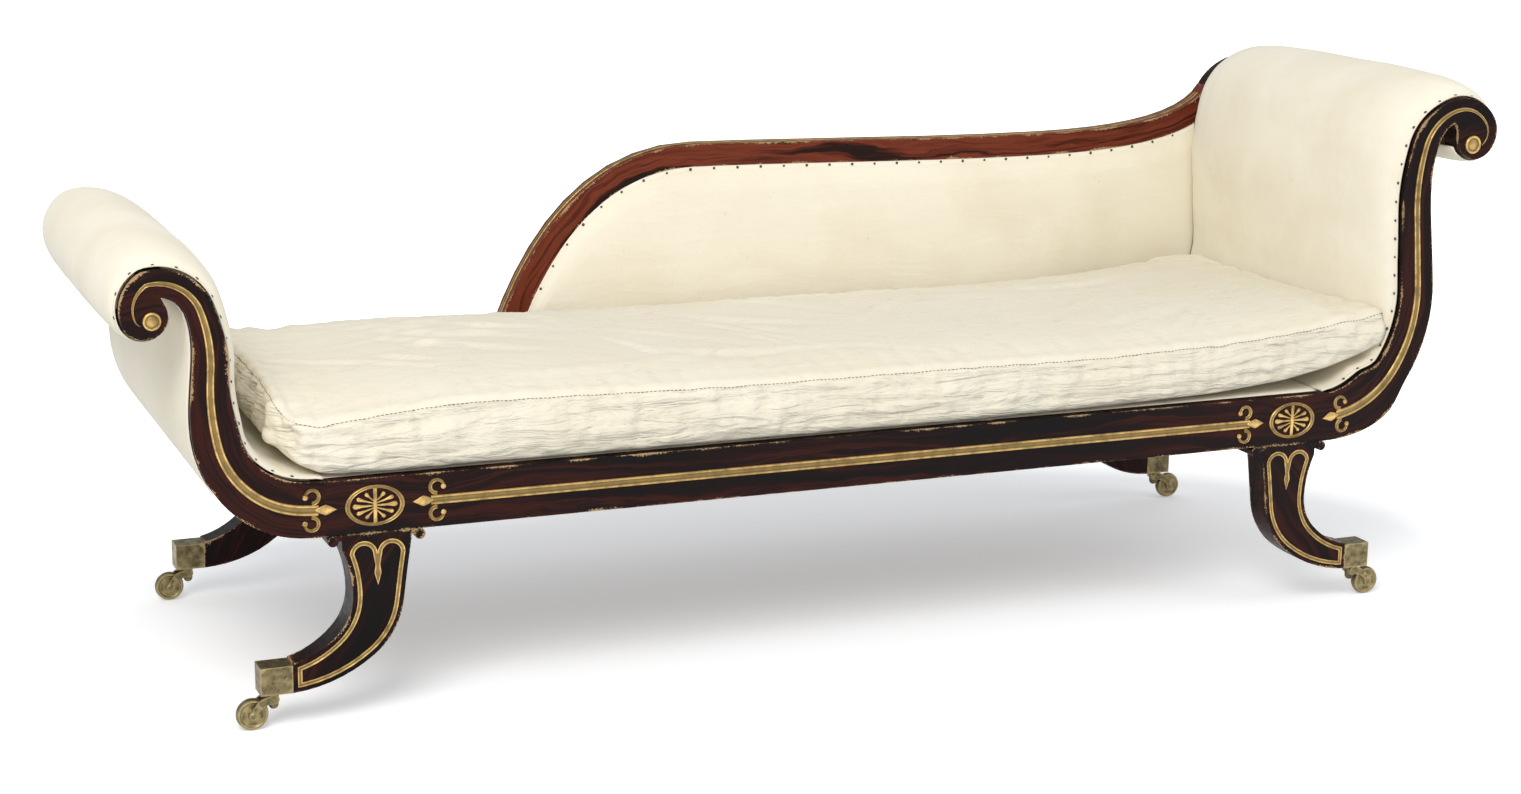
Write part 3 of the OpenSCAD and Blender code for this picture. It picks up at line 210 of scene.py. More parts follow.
@dataclass(frozen=True)
class ScrollShape:
    """Form of one scrolled end, as a chain of arcs drawn outwards from the rail.

    Attributes:
        side: which end it is.
        rise: the length that its shares follow.
        rows, curl_rows: arcs of the wood's middle line and of the edge round the eye.
        eye_shares: the eye's place from the rail's end.
        boss_r: radius of the eye's boss.
        rim, crown: thickness of the stuffing at the tacks and at its fullest.
        full: shares along the wrap and how full the stuffing is there.
        wrap_share: share of the curl that the stuffing follows.
        gilt_first: share of the middle line where the moulding starts.
        gilt_skip: share of the curl that it skips at the notch.
        pad_rear: where the stuffing stops on Y.
        web_count: number of straps under it.
        cover_last: share of the neck where the outside cover stops.
    """

    side: Side
    rise: float
    rows: Rows
    curl_rows: Rows
    eye_shares: tuple[float, float]
    boss_r: float
    rim: float
    crown: float
    full: Rows
    wrap_share: float
    gilt_first: float
    gilt_skip: float
    pad_rear: float
    web_count: int
    cover_last: float

    @property
    def name(self) -> str:
        """The end's name in the model."""
        return self.side.name.lower()

    @property
    def start(self) -> list[float]:
        """Where the end leaves the rail."""
        return [SIZES.half_seat, SIZES.rail_mid, 0.0, SIZES.rail_height]

    def spine(self) -> Array:
        """The middle line of the wood."""
        return np.vstack([self.start, chain(self.rows, self.rise, SIZES.rail_height, self.start, SIZES.step)])

    def top(self) -> Array:
        """The seat side of the wood."""
        spine = self.spine()
        return beside(spine, spine[:, 3] / 2)

    def curl(self) -> Array:
        """The outer edge's way round the eye."""
        return chain(self.curl_rows, self.rise, 0, [*self.top()[-1][:3], 0], SIZES.step)

    def neck(self) -> Array:
        """The outer side of the wood, from the rail to the notch."""
        spine = self.spine()
        last = max(3, math.ceil(abs(self.rows[-1][1]) / SIZES.step))
        return beside(spine, -spine[:, 3] / 2)[:len(spine) - last]

    def wrap(self) -> Array:
        """The line that the upholstery follows, up the seat side and round the roll."""
        top, curl = self.top(), self.curl()
        return np.vstack([top + [0.0006, 0, 0, 0], rows_of(curl, 0, self.wrap_share)])

    @property
    def eye(self) -> tuple[float, float]:
        """The eye's centre in x and z."""
        return (
            SIZES.half_seat + self.eye_shares[0] * self.rise, SIZES.rail_mid + self.eye_shares[1] * self.rise)

    def placed_x(self, x: Array | float) -> Array | float:
        """An outward x as the model's own x."""
        return self.side.value * x - SIZES.centre_x


FOOT_END = ScrollShape(
    side=Side.FOOT, rise=0.374,
    rows=((0.083, 5.6, 1), (0.417, 71.8, 0.817), (0.26, 17.4, 0.626), (0.229, -23.6, 0.495),
          (0.172, -63.7, 0.476), (0.056, -20.8, 0.469)),
    curl_rows=((0.008, -15.9), (0.212, -81.4), (0.273, -192.2)),
    eye_shares=(0.586, 0.722), boss_r=0.012, rim=0.004, crown=0.027,
    full=((0, 0), (0.08, 0.12), (0.2, 0.5), (0.34, 0.8), (0.55, 1), (0.75, 0.8), (0.88, 0.32), (1, 0.06)),
    wrap_share=0.86, gilt_first=0.0145, gilt_skip=0.08, pad_rear=0.311, web_count=7, cover_last=0.93)
HEAD_END = ScrollShape(
    side=Side.HEAD, rise=0.5295,
    rows=((0.178, 35.1, 1.149), (0.102, 22, 0.793), (0.272, 38.6, 0.77), (0.211, -0.3, 0.686),
          (0.194, -19.7, 0.596), (0.132, -53.4, 0.466), (0.018, -7.3, 0.456)),
    curl_rows=((0.166, -72.3), (0.121, -86.3), (0.154, -128.3), (0.035, 20)),
    eye_shares=(0.459, 0.788), boss_r=0.0142, rim=0.004, crown=0.04,
    full=((0, 0), (0.06, 0.12), (0.16, 0.36), (0.3, 0.62), (0.5, 0.8), (0.66, 0.97), (0.84, 0.52), (0.93, 0.2),
          (1, 0.06)),
    wrap_share=0.84, gilt_first=0.05, gilt_skip=0.02, pad_rear=0.2857, web_count=9, cover_last=0.95)
ENDS = (FOOT_END, HEAD_END)


@dataclass(frozen=True)
class CrestShape:
    """Form of the crest rail's middle line, as three curves of control points in shares."""

    foot_out: float = 0.3615
    run: float = 1.2703
    rise: float = 0.32
    height: float = 0.036
    curves: tuple = (
        ((0, 0), (0.04, 0.522), (0.118, 1), (0.263, 1)),
        ((0.263, 1), (0.404, 1), (0.585, 0.972), (0.726, 0.978)),
        ((0.726, 0.978), (0.891, 0.977), (0.997, 1.034), (1.0276, 1.2325)))
    steps: int = 40

    def spine(self) -> Array:
        """The middle line, with headings and widths."""
        points = []
        for curve in self.curves:
            c = np.array(curve, float)
            for k in range(self.steps):
                t = k / self.steps
                s = 1 - t
                p = c[0] * s ** 3 + 3 * c[1] * s * s * t + 3 * c[2] * s * t * t + c[3] * t ** 3
                d = (c[1] - c[0]) * s * s + 2 * (c[2] - c[1]) * s * t + (c[3] - c[2]) * t * t
                points.append([
                    p[0] * self.run - self.foot_out, SIZES.rail_top + p[1] * self.rise,
                    math.degrees(math.atan2(d[1] * self.rise, d[0] * self.run)), self.height])
        return np.array(points)

    def under(self) -> Array:
        """The lower edge of the crest rail."""
        return beside(self.spine(), -self.height / 2)


CREST = CrestShape()


# Materials


def shade(colour: Sequence[float], share: float) -> tuple:
    """A colour darkened by a share."""
    return tuple(c * share for c in colour)


class Nodes:
    """A node tree that is built node by node."""

    def __init__(self, tree: bpy.types.NodeTree) -> None:
        """Start with the tree empty."""
        self.tree = tree
        tree.nodes.clear()

    def node(self, kind: str, inputs: dict | None = None, **settings: Any) -> bpy.types.Node:
        """Add a node.

        Args:
            kind: node type, where a shader node leaves out its ShaderNode prefix.
            inputs: socket names or numbers with a value or the socket that feeds them.
            settings: the node's own properties.

        Returns:
            The new node.
        """
        made = self.tree.nodes.new(kind if "Node" in kind else "ShaderNode" + kind)
        for key, value in settings.items():
            setattr(made, key, value)
        for key, value in (inputs or {}).items():
            if isinstance(value, Socket):
                self.tree.links.new(value, made.inputs[key])
            else:
                made.inputs[key].default_value = value
        return made

    def maths(self, operation: str, *values: Any) -> Socket:
        """One step of arithmetic."""
        return self.node("Math", dict(enumerate(values)), operation=operation).outputs[0]

    def times(self, a: Any, b: Any) -> Socket:
        """A product."""
        return self.maths("MULTIPLY", a, b)

    def plus(self, a: Any, b: Any) -> Socket:
        """A sum."""
        return self.maths("ADD", a, b)

    def less(self, a: Any, b: Any) -> Socket:
        """A difference."""
        return self.maths("SUBTRACT", a, b)


class Recipe(Nodes):
    """A material that is built node by node."""

    def __init__(self, name: str) -> None:
        """Start an empty material of a name."""
        self.material = bpy.data.materials.new(name)
        self.material.use_nodes = True
        super().__init__(self.material.node_tree)

    def scaled(self, vector: Socket, scale: Sequence[float]) -> Socket:
        """A vector scaled along each axis."""
        return self.node("Mapping", {"Vector": vector, "Scale": scale}).outputs[0]

    def place(self, scale: Sequence[float] = (1, 1, 1)) -> Socket:
        """Object coordinates, scaled along each axis."""
        return self.scaled(self.node("TexCoord").outputs["Object"], scale)

    def cloth_place(self, scale: Sequence[float] = (1, 1, 1)) -> Socket:
        """The piece's own UV coordinates in metres, scaled."""
        return self.scaled(self.node("UVMap", uv_map="lay").outputs[0], scale)

    def noise(
            self, vector: Socket, scale: float, detail: float = 4, rough: float = 0.5,
            distortion: float = 0) -> Socket:
        """A noise value over a vector."""
        return self.node("TexNoise", {
            "Vector": vector, "Scale": scale, "Detail": detail, "Roughness": rough,
            "Distortion": distortion}).outputs["Fac"]

    def ramp(self, factor: Socket, stops: Sequence[tuple]) -> Socket:
        """A colour that changes over a value.

        Args:
            factor: the value.
            stops: places and their colours, or grey levels.

        Returns:
            The colour socket.
        """
        made = self.node("ValToRGB", {"Fac": factor})
        elements = made.color_ramp.elements
        for place, _ in stops[2:]:
            elements.new(place)
        for element, (place, colour) in zip(elements, stops):
            element.position = place
            level = (colour,) * 3 if isinstance(colour, (int, float)) else colour
            element.color = (*level, 1)
        return made.outputs["Color"]

    def mix(self, factor: Any, a: Any, b: Any) -> Socket:
        """A blend of two colours."""
        first, last = (c if isinstance(c, Socket) else (*c, 1) for c in (a, b))
        return self.node("Mix", {0: factor, 6: first, 7: last}, data_type="RGBA").outputs[2]

    def bump(
            self, height: Socket, distance: float, strength: float = 1,
            normal: Socket | None = None) -> Socket:
        """A normal bent by a height."""
        inputs = {"Height": height, "Distance": distance, "Strength": strength}
        if normal is not None:
            inputs["Normal"] = normal
        return self.node("Bump", inputs).outputs[0]

    def edge(self) -> Socket:
        """Distance to the nearest sharp edge, in metres."""
        return self.node("Attribute", attribute_name="edge").outputs["Fac"]

    def done(self, **inputs: Any) -> bpy.types.Material:
        """Close the material with its shader.

        Args:
            inputs: shader sockets by name, with underscores for spaces.

        Returns:
            The finished material.
        """
        shader = self.node("BsdfPrincipled", {key.replace("_", " "): value for key, value in inputs.items()})
        self.node("OutputMaterial", {"Surface": shader.outputs[0]})
        return self.material


@dataclass(frozen=True)
class PaintedWood:
    """Rosewood grain painted over beech: dark streaks that follow the piece, rubbed at its edges.

    Attributes:
        dark, middle, bright: the paint's colours.
        bright_share: where in the grain its bright veins lie.
        chip: colour of the bare beech.
        wear: how far from the edges the rubbing reaches.
        wear_share: how much of the edges keeps its paint.
        waves, streaks, pores, bands: scales of the grain's patterns, along and across it.
        sway: how far the streaks wander.
        chips, patches: scales of the chips and of where they gather.
    """

    name: str
    dark: tuple
    middle: tuple
    bright: tuple
    bright_share: float = 0.6
    chip: tuple = (0.5, 0.33, 0.17)
    wear: float = 0.0011
    wear_share: float = 1.06
    waves: tuple = (5, 14, 14)
    streaks: tuple = (2.4, 52, 52)
    pores: tuple = (9, 520, 520)
    bands: tuple = (1.6, 9, 9)
    sway: float = 3.2
    chips: float = 420
    patches: float = 23

    def build(self) -> bpy.types.Material:
        """Make the material."""
        r = Recipe(self.name)
        lay = r.node("SeparateXYZ", {0: r.cloth_place()})
        depth = r.node("SeparateXYZ", {0: r.place()}).outputs["Y"]
        along = r.node("CombineXYZ", {0: lay.outputs[0], 1: lay.outputs[1], 2: depth}).outputs[0]
        wander = r.noise(r.scaled(along, self.waves), 1, 3)
        sway = r.node("CombineXYZ", {1: r.times(wander, self.sway)}).outputs[0]
        bent = r.node("VectorMath", {0: r.scaled(along, self.streaks), 1: sway}, operation="ADD").outputs[0]
        streak = r.noise(bent, 1, 5, 0.6, 0.5)
        fine = r.noise(r.scaled(along, self.pores), 1, 2)
        broad = r.noise(r.scaled(along, self.bands), 1, 2)
        tone = r.plus(streak, r.times(r.less(broad, 0.5), 0.55))
        tone = r.plus(tone, r.times(r.less(fine, 0.5), 0.1))
        b = self.bright_share
        colour = r.ramp(tone, [
            (0.34, self.dark), (b - 0.1, self.middle), (b, self.bright), (b + 0.06, self.middle),
            (b + 0.14, self.dark)])
        ragged = r.noise(r.place(), self.chips, 4, 0.65)
        patch = r.noise(r.place(), self.patches, 3)
        reach = r.plus(ragged, r.times(patch, 1.1))
        reach = r.times(r.less(reach, self.wear_share), self.wear * 14)
        worn = r.maths("LESS_THAN", r.edge(), reach)
        rub = r.ramp(r.maths("DIVIDE", r.edge(), self.wear), [(0.3, 1), (1.0, 0)])
        rub = r.times(rub, r.ramp(patch, [(0.4, 0.0), (0.62, 0.42)]))
        colour = r.mix(rub, colour, tuple(0.3 * c + 0.6 * d for c, d in zip(self.chip, self.bright)))
        chip_tone = r.mix(r.noise(r.place(), 160, 2), self.chip, shade(self.chip, 0.55))
        colour = r.mix(worn, colour, chip_tone)
        scuff = r.noise(r.place((3, 1, 1)), 60, 5, 0.7)
        rough = r.ramp(scuff, [(0.3, 0.27), (0.62, 0.43)])
        rough = r.mix(worn, rough, (0.7, 0.7, 0.7))
        normal = r.bump(r.less(r.times(fine, 0.25), worn), 0.0003, 0.5)
        return r.done(Base_Color=colour, Roughness=rough, Normal=normal, Specular_IOR_Level=0.09)


@dataclass(frozen=True)
class Gilding:
    """Rubbed and darkened gold leaf, deeper in its hollows."""

    name: str
    gold: tuple = (0.62, 0.41, 0.145)
    old: tuple = (0.24, 0.155, 0.06)
    speck: tuple = (0.03, 0.015, 0.008)
    grime: tuple = (0.15, 0.1, 0.035)
    hollow: float = 0.85

    def build(self) -> bpy.types.Material:
        """Make the material."""
        r = Recipe(self.name)
        blotch = r.noise(r.place(), 60, 5, 0.65)
        fleck = r.noise(r.place(), 700, 3, 0.6)
        colour = r.mix(r.ramp(blotch, [(0.42, 0), (0.68, 1)]), self.gold, self.old)
        colour = r.mix(r.ramp(fleck, [(0.66, 0), (0.7, 1)]), colour, self.speck)
        deep = r.node("Attribute", attribute_name="hollow").outputs["Fac"]
        colour = r.mix(r.times(deep, self.hollow), colour, self.grime)
        rough = r.ramp(blotch, [(0.3, 0.34), (0.7, 0.52)])
        return r.done(
            Base_Color=colour, Metallic=0.82, Roughness=rough,
            Normal=r.bump(r.plus(blotch, r.times(fleck, 0.3)), 0.0005, 0.5))


@dataclass(frozen=True)
class OldMetal:
    """Cast metal that has darkened with handling."""

    name: str
    bright: tuple
    dark: tuple
    rough: float = 0.42
    metallic: float = 0.9
    rubbed: float = 0.002

    def build(self) -> bpy.types.Material:
        """Make the material."""
        r = Recipe(self.name)
        cloud = r.noise(r.place(), 90, 5, 0.6)
        pit = r.noise(r.place(), 900, 2, 0.5)
        colour = r.mix(r.ramp(cloud, [(0.35, 0), (0.65, 1)]), self.bright, self.dark)
        rub = r.ramp(r.maths("DIVIDE", r.edge(), self.rubbed), [(0.1, 0.5), (0.9, 0)])
        colour = r.mix(rub, colour, tuple(min(1, c * 1.9) for c in self.bright))
        return r.done(
            Base_Color=colour, Metallic=self.metallic, Normal=r.bump(pit, 0.0002, 0.4),
            Roughness=r.ramp(cloud, [(0.3, self.rough - 0.08), (0.7, self.rough + 0.14)]))


@dataclass(frozen=True)
class Calico:
    """Unbleached plain-woven cotton with faint stains and slubs.

    Attributes:
        cloth, stain: its colours.
        stain_share: how strong the stains are.
        gathered: whether it is gathered into a border, with tucks and crumples and painted shade in their
            hollows.
        thread: scale of a thread along and across itself.
        tucks, crumples, ripples: scales of its folds.
        border_lay: the lay past which a place is on the border.
    """

    name: str
    cloth: tuple = (0.85, 0.795, 0.655)
    stain: tuple = (0.74, 0.655, 0.49)
    stain_share: float = 0.6
    gathered: bool = False
    thread: tuple = (70, 1150, 1)
    tucks: tuple = (7, 46, 1)
    crumples: tuple = (20, 30, 1)
    ripples: tuple = (9, 26, 1)
    border_lay: float = 1.2

    def build(self) -> bpy.types.Material:
        """Make the material."""
        r = Recipe(self.name)
        long, short, flat = self.thread
        warp = r.noise(r.cloth_place((long, short, flat)), 1, 3, 0.6)
        weft = r.noise(r.cloth_place((short, long, flat)), 1, 3, 0.6)
        thread = r.plus(warp, weft)
        cloud = r.noise(r.place(), 4.5, 6, 0.6, 0.4)
        spot = r.noise(r.place(), 55, 4, 0.6)
        colour = r.mix(r.times(r.ramp(cloud, [(0.42, 0), (0.72, 1)]), self.stain_share),
                       self.cloth, self.stain)
        colour = r.mix(r.ramp(spot, [(0.7, 0), (0.78, 0.5)]), colour, shade(self.stain, 0.75))
        colour = r.mix(r.ramp(thread, [(0.72, 0.14), (1.2, 0)]), colour, shade(self.cloth, 0.7))
        if self.gathered:
            lay = r.node("SeparateXYZ", {0: r.cloth_place()})
            border = r.maths("GREATER_THAN", lay.outputs[1], self.border_lay)
            tuck = r.noise(r.cloth_place(self.tucks), 1, 4, 0.55, 0.8)
            crumple = r.noise(r.cloth_place(self.crumples), 1, 5, 0.6, 1.3)
            # Painted shade: the lowest parts of the border's tucks and of the crumples are darkened towards a
            # deep stain colour
            crease_shade = r.times(r.ramp(tuck, [(0.3, 0.42), (0.4, 0)]), border)
            crease_shade = r.maths("MAXIMUM", crease_shade, r.ramp(crumple, [(0.32, 0.22), (0.42, 0)]))
            colour = r.mix(crease_shade, colour, shade(self.stain, 0.72))
        ripple = r.noise(r.cloth_place(self.ripples), 1, 4, 0.55, 0.6)
        normal = r.bump(ripple, 0.004, 0.35)
        if self.gathered:
            normal = r.bump(r.times(tuck, border), 0.016, 0.85, normal)
            normal = r.bump(crumple, 0.006, 0.5, normal)
        normal = r.bump(thread, 0.0003, 0.55, normal)
        return r.done(
            Base_Color=colour, Roughness=0.92, Normal=normal, Sheen_Weight=0.12, Sheen_Roughness=0.5,
            Specular_IOR_Level=0.2)


@dataclass(frozen=True)
class Jute:
    """Coarse jute of webbing and hessian."""

    name: str
    colour: tuple
    pitch: float = 0.0022

    def build(self) -> bpy.types.Material:
        """Make the material."""
        r = Recipe(self.name)
        parts = r.node("SeparateXYZ", {0: r.place()})
        waves = [r.maths("SINE", r.times(parts.outputs[k], math.tau / self.pitch)) for k in (0, 1)]
        weave = r.times(waves[0], waves[1])
        slub = r.noise(r.place((1, 1, 6)), 300, 4, 0.7)
        colour = r.mix(slub, self.colour, shade(self.colour, 0.5))
        colour = r.mix(r.ramp(weave, [(0.0, 0.35), (0.6, 0)]), colour, shade(self.colour, 0.35))
        return r.done(
            Base_Color=colour, Roughness=0.95, Normal=r.bump(r.plus(weave, slub), 0.0006, 0.6),
            Specular_IOR_Level=0.15)


@dataclass(frozen=True)
class BareBeech:
    """Unpolished beech of the hidden framing."""

    name: str = "bare_beech"
    dark: tuple = (0.28, 0.16, 0.075)
    pale: tuple = (0.47, 0.31, 0.165)
    ray: tuple = (0.2, 0.11, 0.05)

    def build(self) -> bpy.types.Material:
        """Make the material."""
        r = Recipe(self.name)
        grain = r.noise(r.place((6, 90, 90)), 1, 5, 0.6, 0.3)
        fleck = r.noise(r.place((60, 700, 700)), 1, 2)
        colour = r.ramp(grain, [(0.3, self.dark), (0.7, self.pale)])
        colour = r.mix(r.ramp(fleck, [(0.6, 0), (0.75, 0.6)]), colour, self.ray)
        return r.done(Base_Color=colour, Roughness=0.68, Normal=r.bump(grain, 0.0004, 0.4))


ROSEWOOD = PaintedWood(
    "painted_rosewood", (0.003, 0.0015, 0.0015), (0.009, 0.0023, 0.0019), (0.034, 0.0066, 0.004))
CREST_WOOD = PaintedWood(
    "painted_crest", (0.014, 0.0045, 0.003), (0.105, 0.02, 0.0095), (0.165, 0.034, 0.015), bright_share=0.56)
GOLD = Gilding("gilding")
BRASS = OldMetal("old_brass", (0.27, 0.215, 0.105), (0.105, 0.085, 0.045))
TACK_IRON = OldMetal("tack_iron", (0.09, 0.075, 0.065), (0.035, 0.027, 0.022), 0.5)
PAD_CALICO = Calico("pad_calico")
SQUAB_CALICO = Calico("squab_calico", cloth=(0.775, 0.72, 0.585), stain_share=0.55, gathered=True)
THREAD = OldMetal("dark_thread", (0.09, 0.06, 0.035), (0.05, 0.032, 0.02), 0.8, 0.0)
HESSIAN = Jute("hessian", (0.34, 0.25, 0.135))
WEB_JUTE = Jute("webbing_jute", (0.42, 0.33, 0.2), 0.0034)
BUILT: dict[str, bpy.types.Material] = {}


def material(finish: Any) -> bpy.types.Material:
    """The material of a finish, built once."""
    if finish.name not in BUILT:
        BUILT[finish.name] = finish.build()
    return BUILT[finish.name]


# Making pieces


def add_object(name: str, mesh: Mesh, finish: Any) -> Piece:
    """Put a mesh in the scene with its finish."""
    made = bpy.data.objects.new(name, mesh)
    bpy.context.scene.collection.objects.link(made)
    mesh.materials.clear()
    mesh.materials.append(material(finish))
    return made


def settle(piece: Piece, slot: Slot, replaced: Iterable[str] = (), body: str = "frame") -> None:
    """Give a finished piece its body and hide the CAD nodes that it stands for.

    Args:
        piece: the finished object.
        slot: the slot for its finish, not used.
        replaced: CAD nodes that it stands for.
        body: the body that it rides on.
    """
    if replaced:
        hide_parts(*replaced)
    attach(piece, body)
    LOG.info("%s: %d faces on %s", piece.name, len(piece.data.polygons), body)


def mesh_from(name: str, points: Array, faces: Sequence[Sequence[int]]) -> Mesh:
    """A smooth mesh from points and faces, with its faces turned outwards."""
    mesh = bpy.data.meshes.new(name)
    mesh.from_pydata([tuple(p) for p in points], [], [tuple(f) for f in faces])
    mesh.validate()
    mesh.shade_smooth()
    bm = bmesh.new()
    bm.from_mesh(mesh)
    bmesh.ops.recalc_face_normals(bm, faces=bm.faces)
    bm.to_mesh(mesh)
    bm.free()
    return mesh


def show_form(name: str, form: Form, finish: Any, angle: float) -> Piece:
    """Put a closed form in the scene, with edges that stay sharp past an angle."""
    points, faces, hollow = form
    mesh = mesh_from(name, points, faces)
    mesh.set_sharp_from_angle(angle=math.radians(angle))
    set_value(mesh, "hollow", hollow)
    return add_object(name, mesh, finish)


def set_lay(mesh: Mesh, lay: Array) -> None:
    """Write one UV pair for each vertex, in metres."""
    layer = mesh.uv_layers.new(name="lay")
    index = np.zeros(len(mesh.loops), int)
    mesh.loops.foreach_get("vertex_index", index)
    layer.data.foreach_set("uv", lay[index].astype(np.float32).ravel())


def set_value(mesh: Mesh, name: str, values: Array) -> None:
    """Write one number for each vertex."""
    mesh.attributes.new(name, "FLOAT", "POINT").data.foreach_set("value", values.astype(np.float32))


def value_of(mesh: Mesh, name: str) -> Array:
    """Read one number for each vertex."""
    values = np.zeros(len(mesh.vertices), np.float32)
    mesh.attributes[name].data.foreach_get("value", values)
    return values.astype(float)


def points_of(mesh: Mesh) -> Array:
    """A mesh's points as rows."""
    flat = np.zeros(len(mesh.vertices) * 3)
    mesh.vertices.foreach_get("co", flat)
    return flat.reshape(-1, 3)


def set_points(mesh: Mesh, points: Array) -> None:
    """Move a mesh's points."""
    mesh.vertices.foreach_set("co", points.ravel())
    mesh.update()


def normals_of(mesh: Mesh) -> Array:
    """A mesh's point normals as rows."""
    flat = np.zeros(len(mesh.vertices) * 3)
    mesh.vertex_normals.foreach_get("vector", flat)
    return flat.reshape(-1, 3)


def keep_result(piece: Piece, modifier: bpy.types.Modifier, layers: bool = False) -> None:
    """Make what a modifier shows the piece's own mesh.

    Args:
        piece: the object.
        modifier: its modifier, which is removed.
        layers: whether all of the mesh's layers are kept.
    """
    bpy.context.view_layer.update()
    graph = bpy.context.evaluated_depsgraph_get()
    mesh = bpy.data.meshes.new_from_object(
        piece.evaluated_get(graph), preserve_all_data_layers=layers, depsgraph=graph)
    piece.modifiers.remove(modifier)
    old = piece.data
    piece.data = mesh
    bpy.data.meshes.remove(old)


def along_line(points: Array, line: Array) -> Array:
    """Distance along a line in x and z and distance to its left, for each point.

    Args:
        points: rows of x, y and z.
        line: rows that start with x and z.

    Returns:
        Two columns, along and across.
    """
    flat = points[:, [0, 2]]
    run = run_along(line)
    best = np.full(len(flat), 1e9)
    found = np.zeros((len(flat), 2))
    for k in range(len(line) - 1):
        a, d = line[k, :2], line[k + 1, :2] - line[k, :2]
        length = math.hypot(*d)
        if length < 1e-9:
            continue
        d = d / length
        t = (flat - a) @ d
        low = -1e9 if k == 0 else 0
        high = 1e9 if k == len(line) - 2 else length
        t = np.clip(t, low, high)
        off = flat - a - t[:, None] * d
        far = np.hypot(*off.T)
        side = np.sign(off[:, 1] * d[0] - off[:, 0] * d[1])
        near = far < best
        best[near] = far[near]
        found[near] = np.stack([run[k] + t, far * side], axis=1)[near]
    return found


def edge_distance(points: Array, starts: Array, ends: Array) -> Array:
    """Distance from each point to the nearest of some straight edges."""
    best = np.full(len(points), 1.0)
    for a, b in zip(starts, ends):
        d = b - a
        t = np.clip((points - a) @ d / max(d @ d, 1e-12), 0, 1)
        best = np.minimum(best, np.linalg.norm(points - a - t[:, None] * d, axis=1))
    return best


def sink(bm: bmesh.types.BMesh, level: list, wide: float, deep: float) -> None:
    """Inset a flat front region by a width and lower it, with no corner moved far from its edge.

    Args:
        bm: the mesh.
        level: the region's faces, which all look along -y.
        wide: how far the region's edge moves in.
        deep: how far the region sinks.
    """
    bmesh.ops.inset_region(bm, faces=level, thickness=wide, depth=0, use_even_offset=True)
    chosen, most = set(level), 1.6 * wide
    for v in {v for f in level for v in f.verts}:
        for e in v.link_edges:
            step = v.co - e.other_vert(v).co
            if step.length > most and not chosen.intersection(e.link_faces):
                v.co = e.other_vert(v).co + step * (most / step.length)
        v.co.y += deep


# Angle of a sharp edge, slack round the glued joints, the legs' top and the depth of a gilt line's hollow
SHARP = math.radians(32)
JOINT_SLACK = 2e-4
LEG_TOP = 0.26
HOLLOW_DEEP = 0.00055


